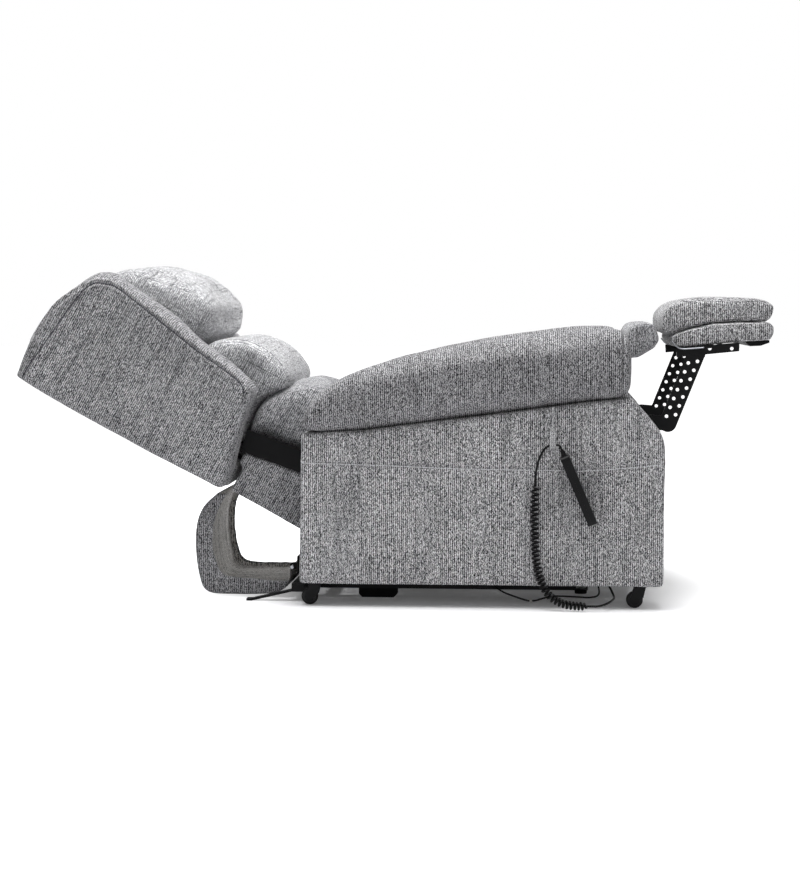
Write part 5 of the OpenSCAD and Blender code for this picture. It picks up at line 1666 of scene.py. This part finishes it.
# ---------------------------------------------------------------- studio
@dataclass
class Studio:
    """A pale floor, a white surround, soft lamps and the camera."""

    camera_at: Point3 = (377.3, -4939.9, 678.6)
    azimuth: float = math.radians(4.50)
    pitch: float = math.radians(3.61)
    lens: float = 83.72
    world_level: float = 0.22
    # The soft boxes: name, place and aim in metres, size in metres and power in watts
    boxes: Sequence[tuple[str, Point3, Point3, float, float]] = (
        ("overhead", (-0.1, -0.3, 3.4), (0.0, 0.0, 0.4), 3.0, 135.0),
        ("rear_fill", (-1.0, 3.2, 1.8), (0.0, 0.0, 0.4), 2.2, 22.0),
        ("front_fill", (1.4, -4.2, 1.7), (0.1, 0.0, 0.3), 2.4, 12.0),
        ("low_fill", (0.4, 2.0, 0.3), (-0.45, 0.0, 0.1), 0.7, 11.0))
    floor_half: float = 30000.0
    floor_colour: str = "#ececee"
    # The floor under the chair, in metres: it keeps its shade, and fades to white round about
    shade_middle: Point3 = (0.17, 0.0, 0.0)
    shade_half: Point3 = (0.37, 0.34, 10.0)
    shade_fade: float = 0.24
    shade_glow: float = 0.06         # the white that is left in the shade

    def build(self) -> None:
        """Makes all of it."""
        self.camera()
        self.lamps()
        self.floor()
        self.surround()
        bpy.context.scene.view_settings.view_transform = "Standard"

    def camera(self) -> None:
        """Places the camera."""
        data = bpy.data.cameras.new("camera")
        data.lens, data.sensor_width = self.lens, 36.0
        data.clip_end = 100.0
        ahead = Vector((-math.sin(self.azimuth) * math.cos(self.pitch),
                        math.cos(self.azimuth) * math.cos(self.pitch), -math.sin(self.pitch)))
        bpy.context.scene.camera = self.aimed("camera", data, Vector(self.camera_at) * MM, ahead)

    @staticmethod
    def aimed(name: str, data: bpy.types.Camera | bpy.types.Light, place: Vector,
              ahead: Vector) -> bpy.types.Object:
        """Puts a camera or a lamp in the scene.

        Args:
            name: its name.
            data: the camera or the lamp.
            place: where it stands, in metres.
            ahead: the way that it faces.

        Returns:
            The new object.
        """
        obj = bpy.data.objects.new(name, data)
        bpy.context.scene.collection.objects.link(obj)
        obj.location = place
        obj.rotation_mode = "QUATERNION"
        obj.rotation_quaternion = ahead.to_track_quat("-Z", "Y")
        return obj

    def lamps(self) -> None:
        """Hangs the soft boxes."""
        for name, place, aim, size, power in self.boxes:
            data = bpy.data.lights.new(name, "AREA")
            data.shape, data.size, data.energy = "DISK", size, power
            self.aimed(name, data, Vector(place), Vector(aim) - Vector(place))

    def floor(self) -> None:
        """Lays the floor: white to the eye except where the chair shades it."""
        half = self.floor_half
        obj = new_piece("floor", [(-half, -half, 0), (half, -half, 0), (half, half, 0), (-half, half, 0)],
                        [(0, 1, 2, 3)], smooth=False)
        material = bpy.data.materials.new("studio_floor")
        material.use_nodes = True
        tree = material.node_tree
        tree.nodes.clear()
        place = add_node(tree, "NewGeometry").outputs["Position"]
        centred = add_node(tree, "VectorMath", {"operation": "SUBTRACT", 1: self.shade_middle}, {0: place})
        folded = add_node(tree, "VectorMath", {"operation": "ABSOLUTE"}, {0: centred.outputs[0]})
        outside = add_node(tree, "VectorMath", {"operation": "SUBTRACT", 1: self.shade_half},
                           {0: folded.outputs[0]})
        clear = add_node(tree, "VectorMath", {"operation": "MAXIMUM", 1: (0, 0, 0)}, {0: outside.outputs[0]})
        reach = add_node(tree, "VectorMath", {"operation": "LENGTH"}, {0: clear.outputs[0]})
        glow = add_node(tree, "MapRange", {1: 0.0, 2: self.shade_fade, 3: self.shade_glow, 4: 1.0},
                        {0: reach.outputs["Value"]})
        seen = add_node(tree, "LightPath")
        level = add_node(tree, "Math", {"operation": "MULTIPLY"},
                         {0: glow.outputs[0], 1: seen.outputs["Is Camera Ray"]})
        plain = add_node(tree, "BsdfDiffuse", {"Color": linear(self.floor_colour)})
        bright = add_node(tree, "Emission", {"Color": (1, 1, 1, 1)}, {"Strength": level.outputs[0]})
        total = add_node(tree, "AddShader", links={0: plain.outputs[0], 1: bright.outputs[0]})
        add_node(tree, "OutputMaterial", links={"Surface": total.outputs[0]})
        obj.data.materials.append(material)

    def surround(self) -> None:
        """Sets the world: soft light from all round, and white where the eye meets it."""
        world = bpy.data.worlds.new("studio")
        bpy.context.scene.world = world
        world.use_nodes = True
        tree = world.node_tree
        tree.nodes.clear()
        seen = add_node(tree, "LightPath")
        level = add_node(tree, "MapRange", {1: 0.0, 2: 1.0, 3: self.world_level, 4: 1.0},
                         {0: seen.outputs["Is Camera Ray"]})
        shine = add_node(tree, "Background", {"Color": (1, 1, 1, 1)}, {"Strength": level.outputs[0]})
        add_node(tree, "OutputWorld", links={"Surface": shine.outputs[0]})


# ---------------------------------------------------------------- the whole chair
def main() -> None:
    """Builds the studio, the cords and then every sub-assembly."""
    logging.basicConfig(level=logging.INFO, format="%(name)s: %(message)s")
    Studio().build()
    HandsetCable().build()
    ControlLead().build()
    HandsetStrap().build()
    Steelwork().build()
    CastorTrim().build()
    for side in Side:
        Arm(side).build()
        Wing(side).build()
    BackShell().build()
    BackPillows().build()
    SeatUpholstery().build()
    LegrestUpholstery().build()
    Curtain().build()
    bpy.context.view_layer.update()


if __name__ == "__main__":
    main()
